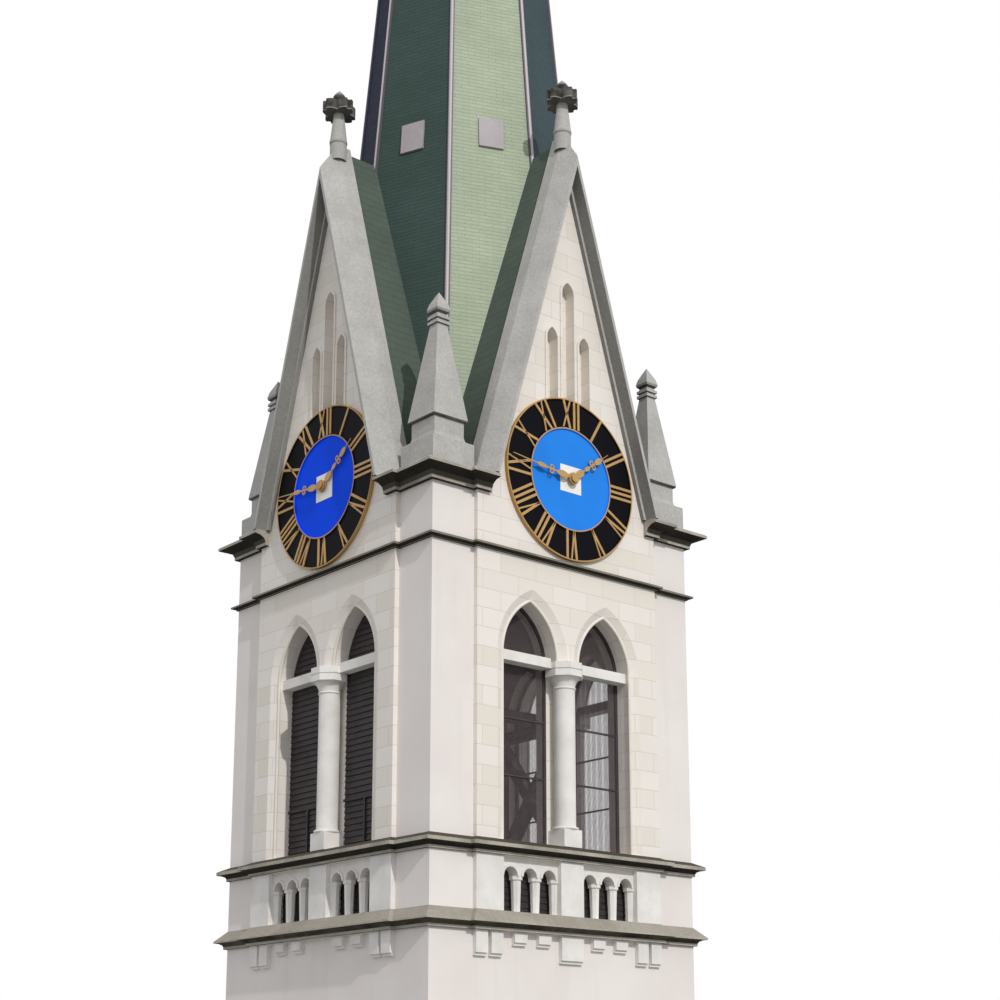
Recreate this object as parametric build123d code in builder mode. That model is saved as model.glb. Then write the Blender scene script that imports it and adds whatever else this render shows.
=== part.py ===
from build123d import *
import os
from math import acos, atan, cos, degrees, radians, sin, sqrt

# Church tower with clock gables and a slated octagonal spire, as a 1:2 model in millimetres.
# The origin is on the ground at the middle of the tower, +Z is up and the front faces -Y.

# Tower body
tower_side = 3250.0
shaft_height = 6000.0
shaft_wall = 400.0
plinth_height = 500.0
plinth_projection = 60.0
plinth_chamfer = 45.0
ground_floor_thickness = 150.0
belfry_floor_thickness = 125.0

# Middle panel of each face, which stands proud of the corner piers
panel_width = 2280.0
panel_proud = 50.0
panel_wall = 350.0
gable_wall = 175.0

# Heights of the storeys, from one moulding's underside to the next
parapet_height = 675.0
belfry_height = 2808.0
clock_stage_height = 546.0

# Mouldings: projection from the wall and heights above the underside
cavetto_steps = 3
lower_fillet = 30.0
lower_fillet_height = 25.0
lower_lip = 102.0
lower_lip_bottom = 62.0
lower_lip_top = 79.0
lower_height = 180.0
sill_fillet = 25.0
sill_fillet_height = 25.0
sill_lip = 98.0
sill_lip_bottom = 60.0
sill_lip_top = 93.0
sill_height = 140.0
string_fillet = 18.0
string_fillet_height = 8.0
string_lip = 60.0
string_lip_bottom = 22.0
string_lip_top = 40.0
string_height = 67.0
cornice_fillet = 45.0
cornice_fillet_height = 30.0
cornice_lip = 170.0
cornice_lip_bottom = 108.0
cornice_lip_top = 134.0
cornice_shoulder = 150.0
cornice_height = 150.0
kneeler_end = 1000.0

# Corbels under the lower cornice
corbel_projection = 50.0
corbel_step = 22.0
corbel_step_height = 26.0
short_corbel_width = 150.0
short_corbel_drop = 118.0
long_corbel_width = 135.0
long_corbel_drop = 225.0
middle_corbel_width = 270.0
middle_corbel_drop = 250.0
corbel_pair_gap = 40.0
short_corbel_places = (335.0, 622.0)

# Parapet arcades
arcade_inner = 140.0
arcade_outer = 825.0
arcade_bays = 3
arcade_recess = 50.0
arcade_depth = 110.0
arcade_springing = 505.0
arcade_arch_radius = 80.0
arcade_roll = 22.0
arcade_roll_proud = 14.0
post_top_width = 92.0
post_bottom_width = 73.0
post_capital_width = 117.0
post_capital_height = 30.0

# Belfry windows
window_centre = 468.0
window_half = 340.0
window_arch_offset = 251.0
window_head = 923.0
window_splay = 90.0
window_splay_depth = 45.0
screen_depth = 210.0
screen_thickness = 20.0
screen_border = 30.0
screen_rail = 16.0
screen_rail_heights = (640.0, 1180.0)
transom_height = 95.0
transom_depth = 125.0
transom_drop = 60.0

# Columns in front of the mullions
column_setback = 95.0
column_diameter = 205.0
column_base_side = 220.0
column_base_height = 165.0
column_torus = 24.0
column_necking = 20.0
column_bell_height = 95.0
column_abacus_width = 345.0
column_abacus_height = 62.0
column_capital_groove = 10.0
bell_share = 0.45

# Gables
gable_rise = 3911.0
lancet_half = 76.0
lancet_top = 2261.0
lancet_arch_offset = 60.0
side_lancet_half = 66.0
side_lancet_offset = 210.0
side_lancet_top = 1732.0
lancet_bottom = 900.0
lancet_depth = 110.0
lancet_hood = 26.0
lancet_hood_proud = 12.0

# Copings, measured at the apex of the gable line and from the panel's face
coping_back = 200.0
coping_flat_front = 50.0
coping_lip = 170.0
coping_bevel_drop = 325.0
coping_lip_drop = 115.0
coping_fillet = 45.0
coping_total_drop = 585.0
coping_fillet_drop = 95.0
coping_fillet_round = 2.0

# Finials on the gables
finial_base_diameter = 172.0
finial_ring_diameter = 184.0
finial_ring_height = 60.0
finial_ring_drop = 10.0
finial_neck_diameter = 108.0
finial_shaft_height = 290.0
finial_saddle = 190.0
finial_cap_width = 372.0
finial_cap_lobe = 164.0
finial_cap_height = 108.0
finial_cap_notch = 52.0
finial_bud_diameter = 142.0
finial_bud_height = 165.0
finial_bud_shares = ((0.55, 0.0), (0.95, 0.3), (0.85, 0.6), (0.3, 0.9), (0.06, 1.0))

# Pinnacles on the corners
pinnacle_base_height = 291.0
pinnacle_shoulder_height = 70.0
pinnacle_neck_side = 345.0
pinnacle_neck_height = 150.0
pinnacle_foot_side = 400.0
pinnacle_foot_height = 16.0
pinnacle_top_side = 114.0
pinnacle_obelisk_height = 990.0
pinnacle_collar_side = 150.0
pinnacle_collar_height = 30.0
pinnacle_collar_gap = 22.0
pinnacle_bud_side = 162.0
pinnacle_bud_height = 232.0
pinnacle_bud_shares = ((0.0, 0.62), (0.1, 0.94), (0.2, 1.0), (0.45, 0.82), (0.75, 0.4), (1.0, 0.03))

# Spire and its roofs
spire_sides = 8
spire_radius = 1497.0
spire_height = 17471.0
spire_shell = 75.0
spire_cap_length = 700.0
ring_beam_clearance = 3.0
ring_beam_inner_radius = 1340.0
gable_roof_step = 65.0
gable_roof_depth = 450.0
hip_half_width = 32.0
hip_top_half_width = 10.0
hip_thickness = 16.0
hip_seat_drop = 230.0
hip_foot_level = 560.0
hatch_width = 262.0
hatch_height = 330.0
hatch_level = 4213.0
hatch_thickness = 22.0
spire_collar_diameter = 160.0
spire_collar_height = 70.0
spire_ball_diameter = 210.0
spire_rod_diameter = 44.0
spire_rod_tip_diameter = 16.0
spire_rod_length = 620.0

# Bell frame behind the mesh
frame_timber = 110.0
frame_half_length = 1000.0
frame_half_width = 560.0
frame_height = 2080.0
frame_middle_level = 620.0

# Clock dials and hands
dial_radius = 815.0
dial_level = 351.0
dial_thickness = 30.0
dial_rim_width = 24.0
dial_rim_proud = 8.0
dial_centre_radius = 505.0
dial_centre_recess = 6.0
arbor_diameter = 64.0
arbor_tip_diameter = 40.0
hand_thickness = 8.0
hand_clearance = 10.0
arbor_fit = 0.05
hub_diameter = 120.0
minute_hand_length = 770.0
hour_hand_length = 590.0
minute_angle = 276.0
hour_angle = 53.0
arbor_head_diameter = 84.0
arbor_head_height = 10.0

# Shares of a hand's length: leaves as start, end and half width, loops as place, radius and distance apart
minute_leaf_shares = ((0.07, 0.3, 0.045), (0.43, 0.63, 0.03))
hour_leaf_shares = ((0.09, 0.33, 0.062), (0.33, 0.5, 0.036), (0.61, 0.83, 0.052))
minute_loop_shares = (0.37, 0.034, 0.028)
hour_loop_shares = (0.56, 0.047, 0.04)
loop_hole_share = 0.52
stem_share = 0.013
point_share = 0.004

# Small shared values
overrun = 20.0
seat_clearance = 0.3

sides = (("front", 0), ("right", 90), ("back", 180), ("left", 270))
corner_angles = (0, 90, 180, 270)

# Levels and faces that several pieces share
half_side = tower_side / 2
panel_half = panel_width / 2
panel_face = half_side + panel_proud
belfry_inner = panel_face - panel_wall
gable_inner = panel_face - gable_wall
parapet_level = shaft_height
sill_level = parapet_level + parapet_height
string_level = sill_level + belfry_height
cornice_level = string_level + clock_stage_height
gable_level = cornice_level + cornice_height
opening_bottom = sill_level + sill_height
springing_level = string_level - window_head
screen_face = panel_face - screen_depth
gable_slope = gable_rise / panel_half
gable_apex = gable_level + gable_rise
dial_centre_level = cornice_level + dial_level
pier_side = half_side - panel_half


def cavetto(near, far, low, high):
    """Points of a hollow quarter round from (near, low) out to (far, high)."""
    points = []
    for step in range(cavetto_steps + 1):
        turn = radians(90 * step / cavetto_steps)
        points.append((far - (far - near) * cos(turn), low + (high - low) * sin(turn)))
    return points


def panelled_outline(out):
    """Plan of the tower with its four proud panels, moved outwards by a distance."""
    near, proud, edge = half_side + out, panel_face + out, panel_half + out
    quarter = [(near, -near), (near, -edge), (proud, -edge), (proud, edge), (near, edge)]
    points = []
    for turn in corner_angles:
        c, s = round(cos(radians(turn))), round(sin(radians(turn)))
        points += [(c * x - s * y, s * x + c * y) for x, y in quarter]
    return points


def cross_outline(reach):
    """Plan of the space between the corner piers, out to a distance from the axis."""
    p = panel_half
    return [(reach, -p), (reach, p), (p, p), (p, reach), (-p, reach), (-p, p),
            (-reach, p), (-reach, -p), (-p, -p), (-p, -reach), (p, -reach), (p, -p)]


def moulding(level, profile):
    """Solid moulding round the whole tower from (projection, rise) points."""
    with BuildPart() as band:
        for out, rise in profile:
            with BuildSketch(Plane.XY.offset(level + rise)):
                Polygon(*panelled_outline(out), align=None)
        loft(ruled=True)
    return band.part


def wall_ring(level, height):
    """The space that the walls and piers fill behind a moulding."""
    with BuildPart() as core:
        with BuildSketch(Plane.XY.offset(level)):
            Polygon(*panelled_outline(0), align=None)
        extrude(amount=height)
    return core.part


def facade_plane(distance):
    """Plane of the front face: x runs right, y runs up, the normal points out of the tower."""
    return Plane(origin=(0, -distance, 0), x_dir=(1, 0, 0), z_dir=(0, -1, 0))


def pointed_arch(centre, half, offset, bottom, springing, mode=Mode.ADD):
    """Closed outline of a pointed opening, drawn in the current sketch."""
    radius = half + offset
    turn = degrees(acos(offset / radius))
    with BuildLine() as outline:
        CenterArc((centre + offset, springing), radius, 180 - turn, turn)
        CenterArc((centre - offset, springing), radius, 0, turn)
        Polyline((centre - half, springing), (centre - half, bottom), (centre + half, bottom),
                 (centre + half, springing))
    make_face(outline.edges(), mode=mode)


def arch_rise(half, offset):
    return sqrt((half + offset) ** 2 - offset ** 2)


os.makedirs("parts", exist_ok=True)


def save(part, name):
    part.label = name
    export_step(part, f"parts/{name}.step")


def save_sides(part, name):
    """Writes a piece of the front once for each side of the tower."""
    for side, turn in sides:
        save(Rot(0, 0, turn) * part, f"{side}_{name}")


def save_corners(part, name):
    """Writes one file with a copy of a piece on each corner or side."""
    save(Compound(children=[Rot(0, 0, turn) * part for turn in corner_angles]), name)


# Plinth with a chamfered top, and the ground floor inside it
with BuildPart() as plinth:
    Box(tower_side + 2 * plinth_projection, tower_side + 2 * plinth_projection, plinth_height,
        align=(Align.CENTER, Align.CENTER, Align.MIN))
    chamfer(plinth.edges().group_by(Axis.Z)[-1], plinth_chamfer)
    Box(tower_side - 2 * shaft_wall, tower_side - 2 * shaft_wall, plinth_height,
        align=(Align.CENTER, Align.CENTER, Align.MIN), mode=Mode.SUBTRACT)
save(plinth.part, "plinth")

with BuildPart() as ground_floor:
    Box(tower_side - 2 * shaft_wall, tower_side - 2 * shaft_wall, ground_floor_thickness,
        align=(Align.CENTER, Align.CENTER, Align.MIN))
save(ground_floor.part, "ground_floor")

# Plain shaft walls: front and back run through, the others stand between them
for side, turn in sides:
    width = tower_side if side in ("front", "back") else tower_side - 2 * shaft_wall
    with BuildPart() as shaft:
        with BuildSketch(Plane.XY.offset(plinth_height)):
            with Locations((0, -half_side + shaft_wall / 2)):
                Rectangle(width, shaft_wall)
        extrude(amount=shaft_height - plinth_height)
    save(Rot(0, 0, turn) * shaft.part, f"{side}_shaft_wall")

# Belfry floor on the ledge of the shaft walls
with BuildPart() as belfry_floor:
    with BuildSketch(Plane.XY.offset(parapet_level)):
        Polygon(*cross_outline(belfry_inner), align=None)
    extrude(amount=belfry_floor_thickness)
save(belfry_floor.part, "belfry_floor")

# Lower cornice, sill cornice and string course
lower_profile = [(lower_fillet, 0), (lower_fillet, lower_fillet_height)]
lower_profile += cavetto(lower_fillet, lower_lip, lower_fillet_height, lower_lip_bottom)[1:]
lower_profile += [(lower_lip, lower_lip_top), (0, lower_height)]
sill_profile = [(sill_fillet, 0), (sill_fillet, sill_fillet_height)]
sill_profile += cavetto(sill_fillet, sill_lip, sill_fillet_height, sill_lip_bottom)[1:]
sill_profile += [(sill_lip, sill_lip_top), (0, sill_height)]
string_profile = [(string_fillet, 0), (string_fillet, string_fillet_height)]
string_profile += cavetto(string_fillet, string_lip, string_fillet_height, string_lip_bottom)[1:]
string_profile += [(string_lip, string_lip_top), (0, string_height)]
for name, level, profile, height in (("lower_cornice", parapet_level, lower_profile, lower_height),
                                     ("sill_cornice", sill_level, sill_profile, sill_height),
                                     ("string_course", string_level, string_profile, string_height)):
    with BuildPart() as ring:
        add(moulding(level, profile))
        add(wall_ring(level, height), mode=Mode.SUBTRACT)
    save(ring.part, name)

# Corbels that carry the panels below the lower cornice
long_corbel_places = (panel_half - long_corbel_width / 2,
                      panel_half - 1.5 * long_corbel_width - corbel_pair_gap)


def corbel(place, width, drop):
    """One corbel of the front: a block with a smaller moulded foot."""
    with BuildPart() as block:
        with BuildSketch(Plane.XY.offset(parapet_level - drop + corbel_step_height)):
            with Locations((place, -half_side - corbel_projection / 2)):
                Rectangle(width, corbel_projection)
        extrude(amount=drop - corbel_step_height)
        with BuildSketch(Plane.XY.offset(parapet_level - drop)):
            with Locations((place, -half_side - (corbel_projection - corbel_step) / 2)):
                Rectangle(width, corbel_projection - corbel_step)
        extrude(amount=corbel_step_height)
    return block.part


corbels = []
for side, turn in sides:
    row = [corbel(s * p, short_corbel_width, short_corbel_drop) for s in (-1, 1) for p in short_corbel_places]
    row += [corbel(s * p, long_corbel_width, long_corbel_drop) for s in (-1, 1) for p in long_corbel_places]
    if side in ("right", "left"):
        row.append(corbel(0, middle_corbel_width, middle_corbel_drop))
    corbels += [Rot(0, 0, turn) * block for block in row]
save(Compound(children=corbels), "corbels")

# Parapet of the front: two groups of small round arches on tapered posts
arcade_bay = (arcade_outer - arcade_inner) / arcade_bays
arcade_face = panel_face - arcade_recess
arcade_back = arcade_face - arcade_depth
arcade_bottom = parapet_level + lower_height
arcade_spring_level = parapet_level + arcade_springing
arcade_crown = arcade_spring_level + arcade_arch_radius
post_axis = (arcade_face + arcade_back) / 2
arcade_middle = (arcade_inner + arcade_outer) / 2
arcade_width = arcade_outer - arcade_inner
bay_centres = [s * (arcade_inner + (n + 0.5) * arcade_bay) for s in (-1, 1) for n in range(arcade_bays)]
post_places = [s * (arcade_inner + n * arcade_bay) for s in (-1, 1) for n in range(arcade_bays + 1)]

with BuildPart() as parapet:
    with BuildSketch(facade_plane(panel_face)):
        with Locations((0, parapet_level + parapet_height / 2)):
            Rectangle(panel_width, parapet_height)
    extrude(amount=-panel_wall)
    with BuildSketch(facade_plane(panel_face)):
        with Locations(*[(s * arcade_middle, (arcade_bottom + sill_level) / 2) for s in (-1, 1)]):
            Rectangle(arcade_width, sill_level - arcade_bottom)
    extrude(amount=-arcade_recess, mode=Mode.SUBTRACT)
    with BuildSketch(facade_plane(arcade_back)):
        with Locations(*[(s * arcade_middle, (arcade_bottom + arcade_crown) / 2) for s in (-1, 1)]):
            Rectangle(arcade_width, arcade_crown - arcade_bottom)
    extrude(amount=belfry_inner - arcade_back, mode=Mode.SUBTRACT)
    with BuildSketch(facade_plane(arcade_face)):
        with Locations(*[(s * arcade_middle, (arcade_bottom + arcade_spring_level) / 2) for s in (-1, 1)]):
            Rectangle(arcade_width, arcade_spring_level - arcade_bottom)
        with Locations(*[(x, arcade_spring_level) for x in bay_centres]):
            Circle(arcade_arch_radius)
    extrude(amount=-arcade_depth, mode=Mode.SUBTRACT)
    with BuildSketch(facade_plane(arcade_face)):
        with Locations(*[(x, arcade_spring_level) for x in bay_centres]):
            Circle(arcade_arch_radius + arcade_roll)
            Circle(arcade_arch_radius, mode=Mode.SUBTRACT)
        with Locations((0, arcade_spring_level - panel_half)):
            Rectangle(panel_width, panel_width, mode=Mode.SUBTRACT)
    extrude(amount=arcade_roll_proud)
    for x in post_places:
        with BuildSketch(Plane.XY.offset(arcade_bottom)):
            with Locations((x, -post_axis)):
                RegularPolygon(post_bottom_width / 2, 8, major_radius=False, rotation=22.5)
        with BuildSketch(Plane.XY.offset(arcade_spring_level - post_capital_height)):
            with Locations((x, -post_axis)):
                RegularPolygon(post_top_width / 2, 8, major_radius=False, rotation=22.5)
        loft(ruled=True)
        with BuildSketch(Plane.XY.offset(arcade_spring_level - post_capital_height)):
            with Locations((x, -post_axis)):
                RegularPolygon(post_capital_width / 2, 8, major_radius=False, rotation=22.5)
        extrude(amount=post_capital_height)
save_sides(parapet.part, "parapet")

# Corner piers from the shaft to the corner cornices
pier_axis = panel_half + pier_side / 2
with BuildPart() as pier:
    with BuildSketch(Plane.XY.offset(parapet_level)):
        with Locations((pier_axis, -pier_axis)):
            Rectangle(pier_side, pier_side)
    extrude(amount=cornice_level - parapet_level)
save_corners(pier.part, "corner_piers")

# Belfry wall of the front with two pointed openings, splayed mouldings and a mullion
with BuildPart() as belfry_wall:
    with BuildSketch(facade_plane(panel_face)):
        with Locations((0, sill_level + belfry_height / 2)):
            Rectangle(panel_width, belfry_height)
    extrude(amount=-panel_wall)
    for centre in (-window_centre, window_centre):
        with BuildSketch(facade_plane(panel_face)):
            pointed_arch(centre, window_half, window_arch_offset, opening_bottom, springing_level)
        extrude(amount=-panel_wall, mode=Mode.SUBTRACT)
        with BuildSketch(facade_plane(panel_face)):
            pointed_arch(centre, window_half + window_splay, window_arch_offset, opening_bottom,
                         springing_level)
        with BuildSketch(facade_plane(panel_face - window_splay_depth)):
            pointed_arch(centre, window_half, window_arch_offset, opening_bottom, springing_level)
        loft(ruled=True, mode=Mode.SUBTRACT)
    with BuildSketch(facade_plane(panel_face)):
        with Locations((0, (opening_bottom + springing_level) / 2)):
            Rectangle(2 * window_centre, springing_level - opening_bottom)
    extrude(amount=-screen_depth, mode=Mode.SUBTRACT)
save_sides(belfry_wall.part, "belfry_wall")

# Column with an octagonal capital, flat against the mullion
column_axis = panel_face - column_setback
column_radius = column_diameter / 2
shaft_bottom = opening_bottom + column_base_height
neck_level = springing_level - 2 * column_abacus_height - column_capital_groove - column_bell_height
abacus_step = springing_level - column_abacus_height
with BuildPart() as column:
    with BuildSketch(Plane.XY.offset(opening_bottom)):
        with Locations((0, -column_axis)):
            Rectangle(column_base_side, column_base_side)
    extrude(amount=column_base_height)
    with BuildSketch(Plane(origin=(0, -column_axis, 0), x_dir=(1, 0, 0), z_dir=(0, -1, 0))):
        with BuildLine():
            Polyline((0, shaft_bottom), (column_radius + column_torus / 2, shaft_bottom))
            ThreePointArc((column_radius + column_torus / 2, shaft_bottom),
                          (column_radius + column_torus, shaft_bottom + column_torus / 2),
                          (column_radius, shaft_bottom + column_torus))
            Polyline((column_radius, shaft_bottom + column_torus), (column_radius, neck_level - column_necking))
            ThreePointArc((column_radius, neck_level - column_necking),
                          (column_radius + column_necking / 2, neck_level - column_necking / 2),
                          (column_radius, neck_level))
            Spline((column_radius, neck_level),
                   (column_radius + column_torus / 2, neck_level + column_bell_height * bell_share),
                   (column_abacus_width / 2 - column_torus, neck_level + column_bell_height))
            Polyline((column_abacus_width / 2 - column_torus, neck_level + column_bell_height),
                     (0, neck_level + column_bell_height), (0, shaft_bottom))
        make_face()
    revolve(axis=Axis((0, -column_axis, 0), (0, 0, 1)))
    with BuildSketch(Plane.XY.offset(neck_level + column_bell_height)):
        with Locations((0, -column_axis)):
            RegularPolygon(column_abacus_width / 2, 8, major_radius=False, rotation=22.5)
    extrude(amount=column_abacus_height)
    with BuildSketch(Plane.XY.offset(abacus_step - column_capital_groove)):
        with Locations((0, -column_axis)):
            RegularPolygon(column_abacus_width / 2 - column_capital_groove, 8, major_radius=False, rotation=22.5)
    extrude(amount=column_capital_groove)
    with BuildSketch(Plane.XY.offset(abacus_step)):
        with Locations((0, -column_axis)):
            RegularPolygon(column_abacus_width / 2, 8, major_radius=False, rotation=22.5)
    extrude(amount=column_abacus_height)
    with BuildSketch(facade_plane(screen_face)):
        with Locations((0, (opening_bottom + springing_level) / 2)):
            Rectangle(column_abacus_width + overrun, springing_level - opening_bottom + overrun)
    extrude(amount=-column_abacus_width, mode=Mode.SUBTRACT)
save_corners(column.part, "columns")

# Transoms between the jambs and the capitals
with BuildPart() as transoms:
    for s in (-1, 1):
        with BuildSketch(facade_plane(screen_face)):
            pointed_arch(s * window_centre, window_half, window_arch_offset, opening_bottom, springing_level)
            inner, outer = column_abacus_width / 2, window_centre + window_half
            with Locations((s * (inner + outer) / 2, springing_level - transom_drop + transom_height / 2)):
                Rectangle(outer - inner, transom_height, mode=Mode.INTERSECT)
        extrude(amount=transom_depth)
save_corners(transoms.part, "transoms")


def screen_outline(centre, inset, mode):
    half = window_half - seat_clearance - inset
    pointed_arch(centre, half, window_arch_offset, opening_bottom + inset, springing_level, mode)


# Louvre boards in the front and left openings, framed mesh screens in the right and back ones
with BuildPart() as louvres:
    for centre in (-window_centre, window_centre):
        with BuildSketch(facade_plane(screen_face)):
            screen_outline(centre, 0, Mode.ADD)
        extrude(amount=-screen_thickness)

# Each mesh frame is two stiles, three rails and a pointed head, parted by their joints
stile_line = window_half - seat_clearance - screen_border
stile_cut = springing_level - opening_bottom + overrun
with BuildPart() as mesh_frames:
    for centre in (-window_centre, window_centre):
        with BuildSketch(facade_plane(screen_face)):
            screen_outline(centre, 0, Mode.ADD)
            screen_outline(centre, screen_border, Mode.SUBTRACT)
            with Locations(*[(centre, opening_bottom + rise) for rise in screen_rail_heights]):
                Rectangle(2 * (window_half - screen_border), screen_rail)
            with Locations(*[(centre + s * stile_line, springing_level - stile_cut / 2) for s in (-1, 1)]):
                Rectangle(seat_clearance, stile_cut, mode=Mode.SUBTRACT)
            with Locations((centre, springing_level)):
                Rectangle(2 * window_half, seat_clearance, mode=Mode.SUBTRACT)
        extrude(amount=-screen_thickness)
for side, turn in sides:
    if side in ("front", "left"):
        save(Rot(0, 0, turn) * louvres.part, f"{side}_louvres")
    else:
        save(Rot(0, 0, turn) * mesh_frames.part, f"{side}_mesh_frames")

# Timber bell frame: two braced trusses tied together at the top
frame_floor = parapet_level + belfry_floor_thickness
post_centre = frame_half_length - frame_timber / 2
panel_top = frame_height - frame_timber
brace_span = 2 * post_centre
brace_rise = panel_top - frame_middle_level - frame_timber
with BuildPart() as bell_frame:
    for y in (-frame_half_width, frame_half_width):
        with BuildSketch(Plane.XZ.offset(-y - frame_timber / 2)):
            with Locations(*[(0, frame_floor + h + frame_timber / 2) for h in (0, frame_middle_level, panel_top)]):
                Rectangle(2 * frame_half_length, frame_timber)
            with Locations(*[(x, frame_floor + frame_height / 2) for x in (-post_centre, 0, post_centre)]):
                Rectangle(frame_timber, frame_height)
            for s in (-1, 1):
                centre = (s * post_centre / 2, frame_floor + frame_middle_level + frame_timber + brace_rise / 2)
                slant = degrees(atan(brace_rise / post_centre))
                with Locations(centre):
                    for turn in (-slant, slant):
                        Rectangle(sqrt(post_centre ** 2 + brace_rise ** 2), frame_timber, rotation=turn)
        extrude(amount=frame_timber)
    for x in (-post_centre, post_centre):
        with BuildSketch(Plane.XY.offset(frame_floor + panel_top)):
            with Locations((x, 0)):
                Rectangle(frame_timber, 2 * frame_half_width)
        extrude(amount=frame_timber)
save(bell_frame.part, "bell_frame")

# Gable wall of the front with three blind lancets, each under a thin hood that stops at the dial
gable_wall_apex = gable_apex - coping_total_drop
gable_wall_foot = (gable_wall_apex - gable_level) / gable_slope
lancets = ((0, lancet_half, lancet_arch_offset, lancet_top),
           (-side_lancet_offset, side_lancet_half, lancet_arch_offset, side_lancet_top),
           (side_lancet_offset, side_lancet_half, lancet_arch_offset, side_lancet_top))
with BuildPart() as gable:
    with BuildSketch(facade_plane(panel_face)):
        Polygon((-panel_half, string_level), (panel_half, string_level), (panel_half, gable_level),
                (gable_wall_foot, gable_level), (0, gable_wall_apex), (-gable_wall_foot, gable_level),
                (-panel_half, gable_level), align=None)
    extrude(amount=-gable_wall)
    for centre, half, offset, top in lancets:
        springing = gable_level + top - arch_rise(half, offset)
        with BuildSketch(facade_plane(panel_face)):
            pointed_arch(centre, half + lancet_hood, offset, gable_level + lancet_bottom, springing)
        extrude(amount=lancet_hood_proud)
    for centre, half, offset, top in lancets:
        springing = gable_level + top - arch_rise(half, offset)
        with BuildSketch(facade_plane(panel_face + lancet_hood_proud)):
            pointed_arch(centre, half, offset, gable_level + lancet_bottom, springing)
        extrude(amount=-lancet_hood_proud - lancet_depth, mode=Mode.SUBTRACT)
    with BuildSketch(facade_plane(panel_face)):
        with Locations((0, dial_centre_level)):
            Circle(dial_radius + seat_clearance)
    extrude(amount=lancet_hood_proud, mode=Mode.SUBTRACT)
save_sides(gable.part, "gable_wall")

# Corner cornices, which turn on to the panels as kneelers for the copings
cornice_profile = [(cornice_fillet, 0), (cornice_fillet, cornice_fillet_height)]
cornice_profile += cavetto(cornice_fillet, cornice_lip, cornice_fillet_height, cornice_lip_bottom)[1:]
cornice_profile += [(cornice_lip, cornice_lip_top), (cornice_shoulder, cornice_height)]
with BuildPart() as corner_cornices:
    add(moulding(cornice_level, cornice_profile))
    with BuildSketch(Plane.XY.offset(cornice_level)):
        Polygon(*cross_outline(panel_face), align=None)
        Rectangle(2 * tower_side, 2 * kneeler_end)
        Rectangle(2 * kneeler_end, 2 * tower_side)
    extrude(amount=cornice_height, mode=Mode.SUBTRACT)
save(corner_cornices.part, "corner_cornices")


def chevron(outer_drop, inner_drop):
    """Section of a gable's two slopes between two heights below the apex, drawn in the current sketch."""
    outer, inner = gable_apex - outer_drop, gable_apex - inner_drop
    outer_foot, inner_foot = (outer - gable_level) / gable_slope, (inner - gable_level) / gable_slope
    Polygon((-outer_foot, gable_level), (0, outer), (outer_foot, gable_level), (inner_foot, gable_level),
            (0, inner), (-inner_foot, gable_level), align=None)


# Coping of the front gable: flat back, weathered bevel, lip, soffit and fillet
bevel_run = coping_lip + coping_flat_front
fillet_bevel = coping_bevel_drop * (coping_flat_front + coping_fillet) / bevel_run
round_bevel = coping_bevel_drop * (coping_flat_front + coping_fillet + coping_fillet_round) / bevel_run
coping_sections = ((panel_face - coping_back, 0, coping_total_drop),
                   (panel_face - coping_flat_front, 0, coping_total_drop),
                   (panel_face + coping_fillet, fillet_bevel, coping_total_drop),
                   (panel_face + coping_fillet + coping_fillet_round, round_bevel,
                    coping_total_drop - coping_fillet_drop),
                   (panel_face + coping_lip, coping_bevel_drop, coping_bevel_drop + coping_lip_drop))
with BuildPart() as coping:
    for distance, outer_drop, inner_drop in coping_sections:
        with BuildSketch(facade_plane(distance)):
            chevron(outer_drop, inner_drop)
    loft(ruled=True)
save_corners(coping.part, "gable_copings")

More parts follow.
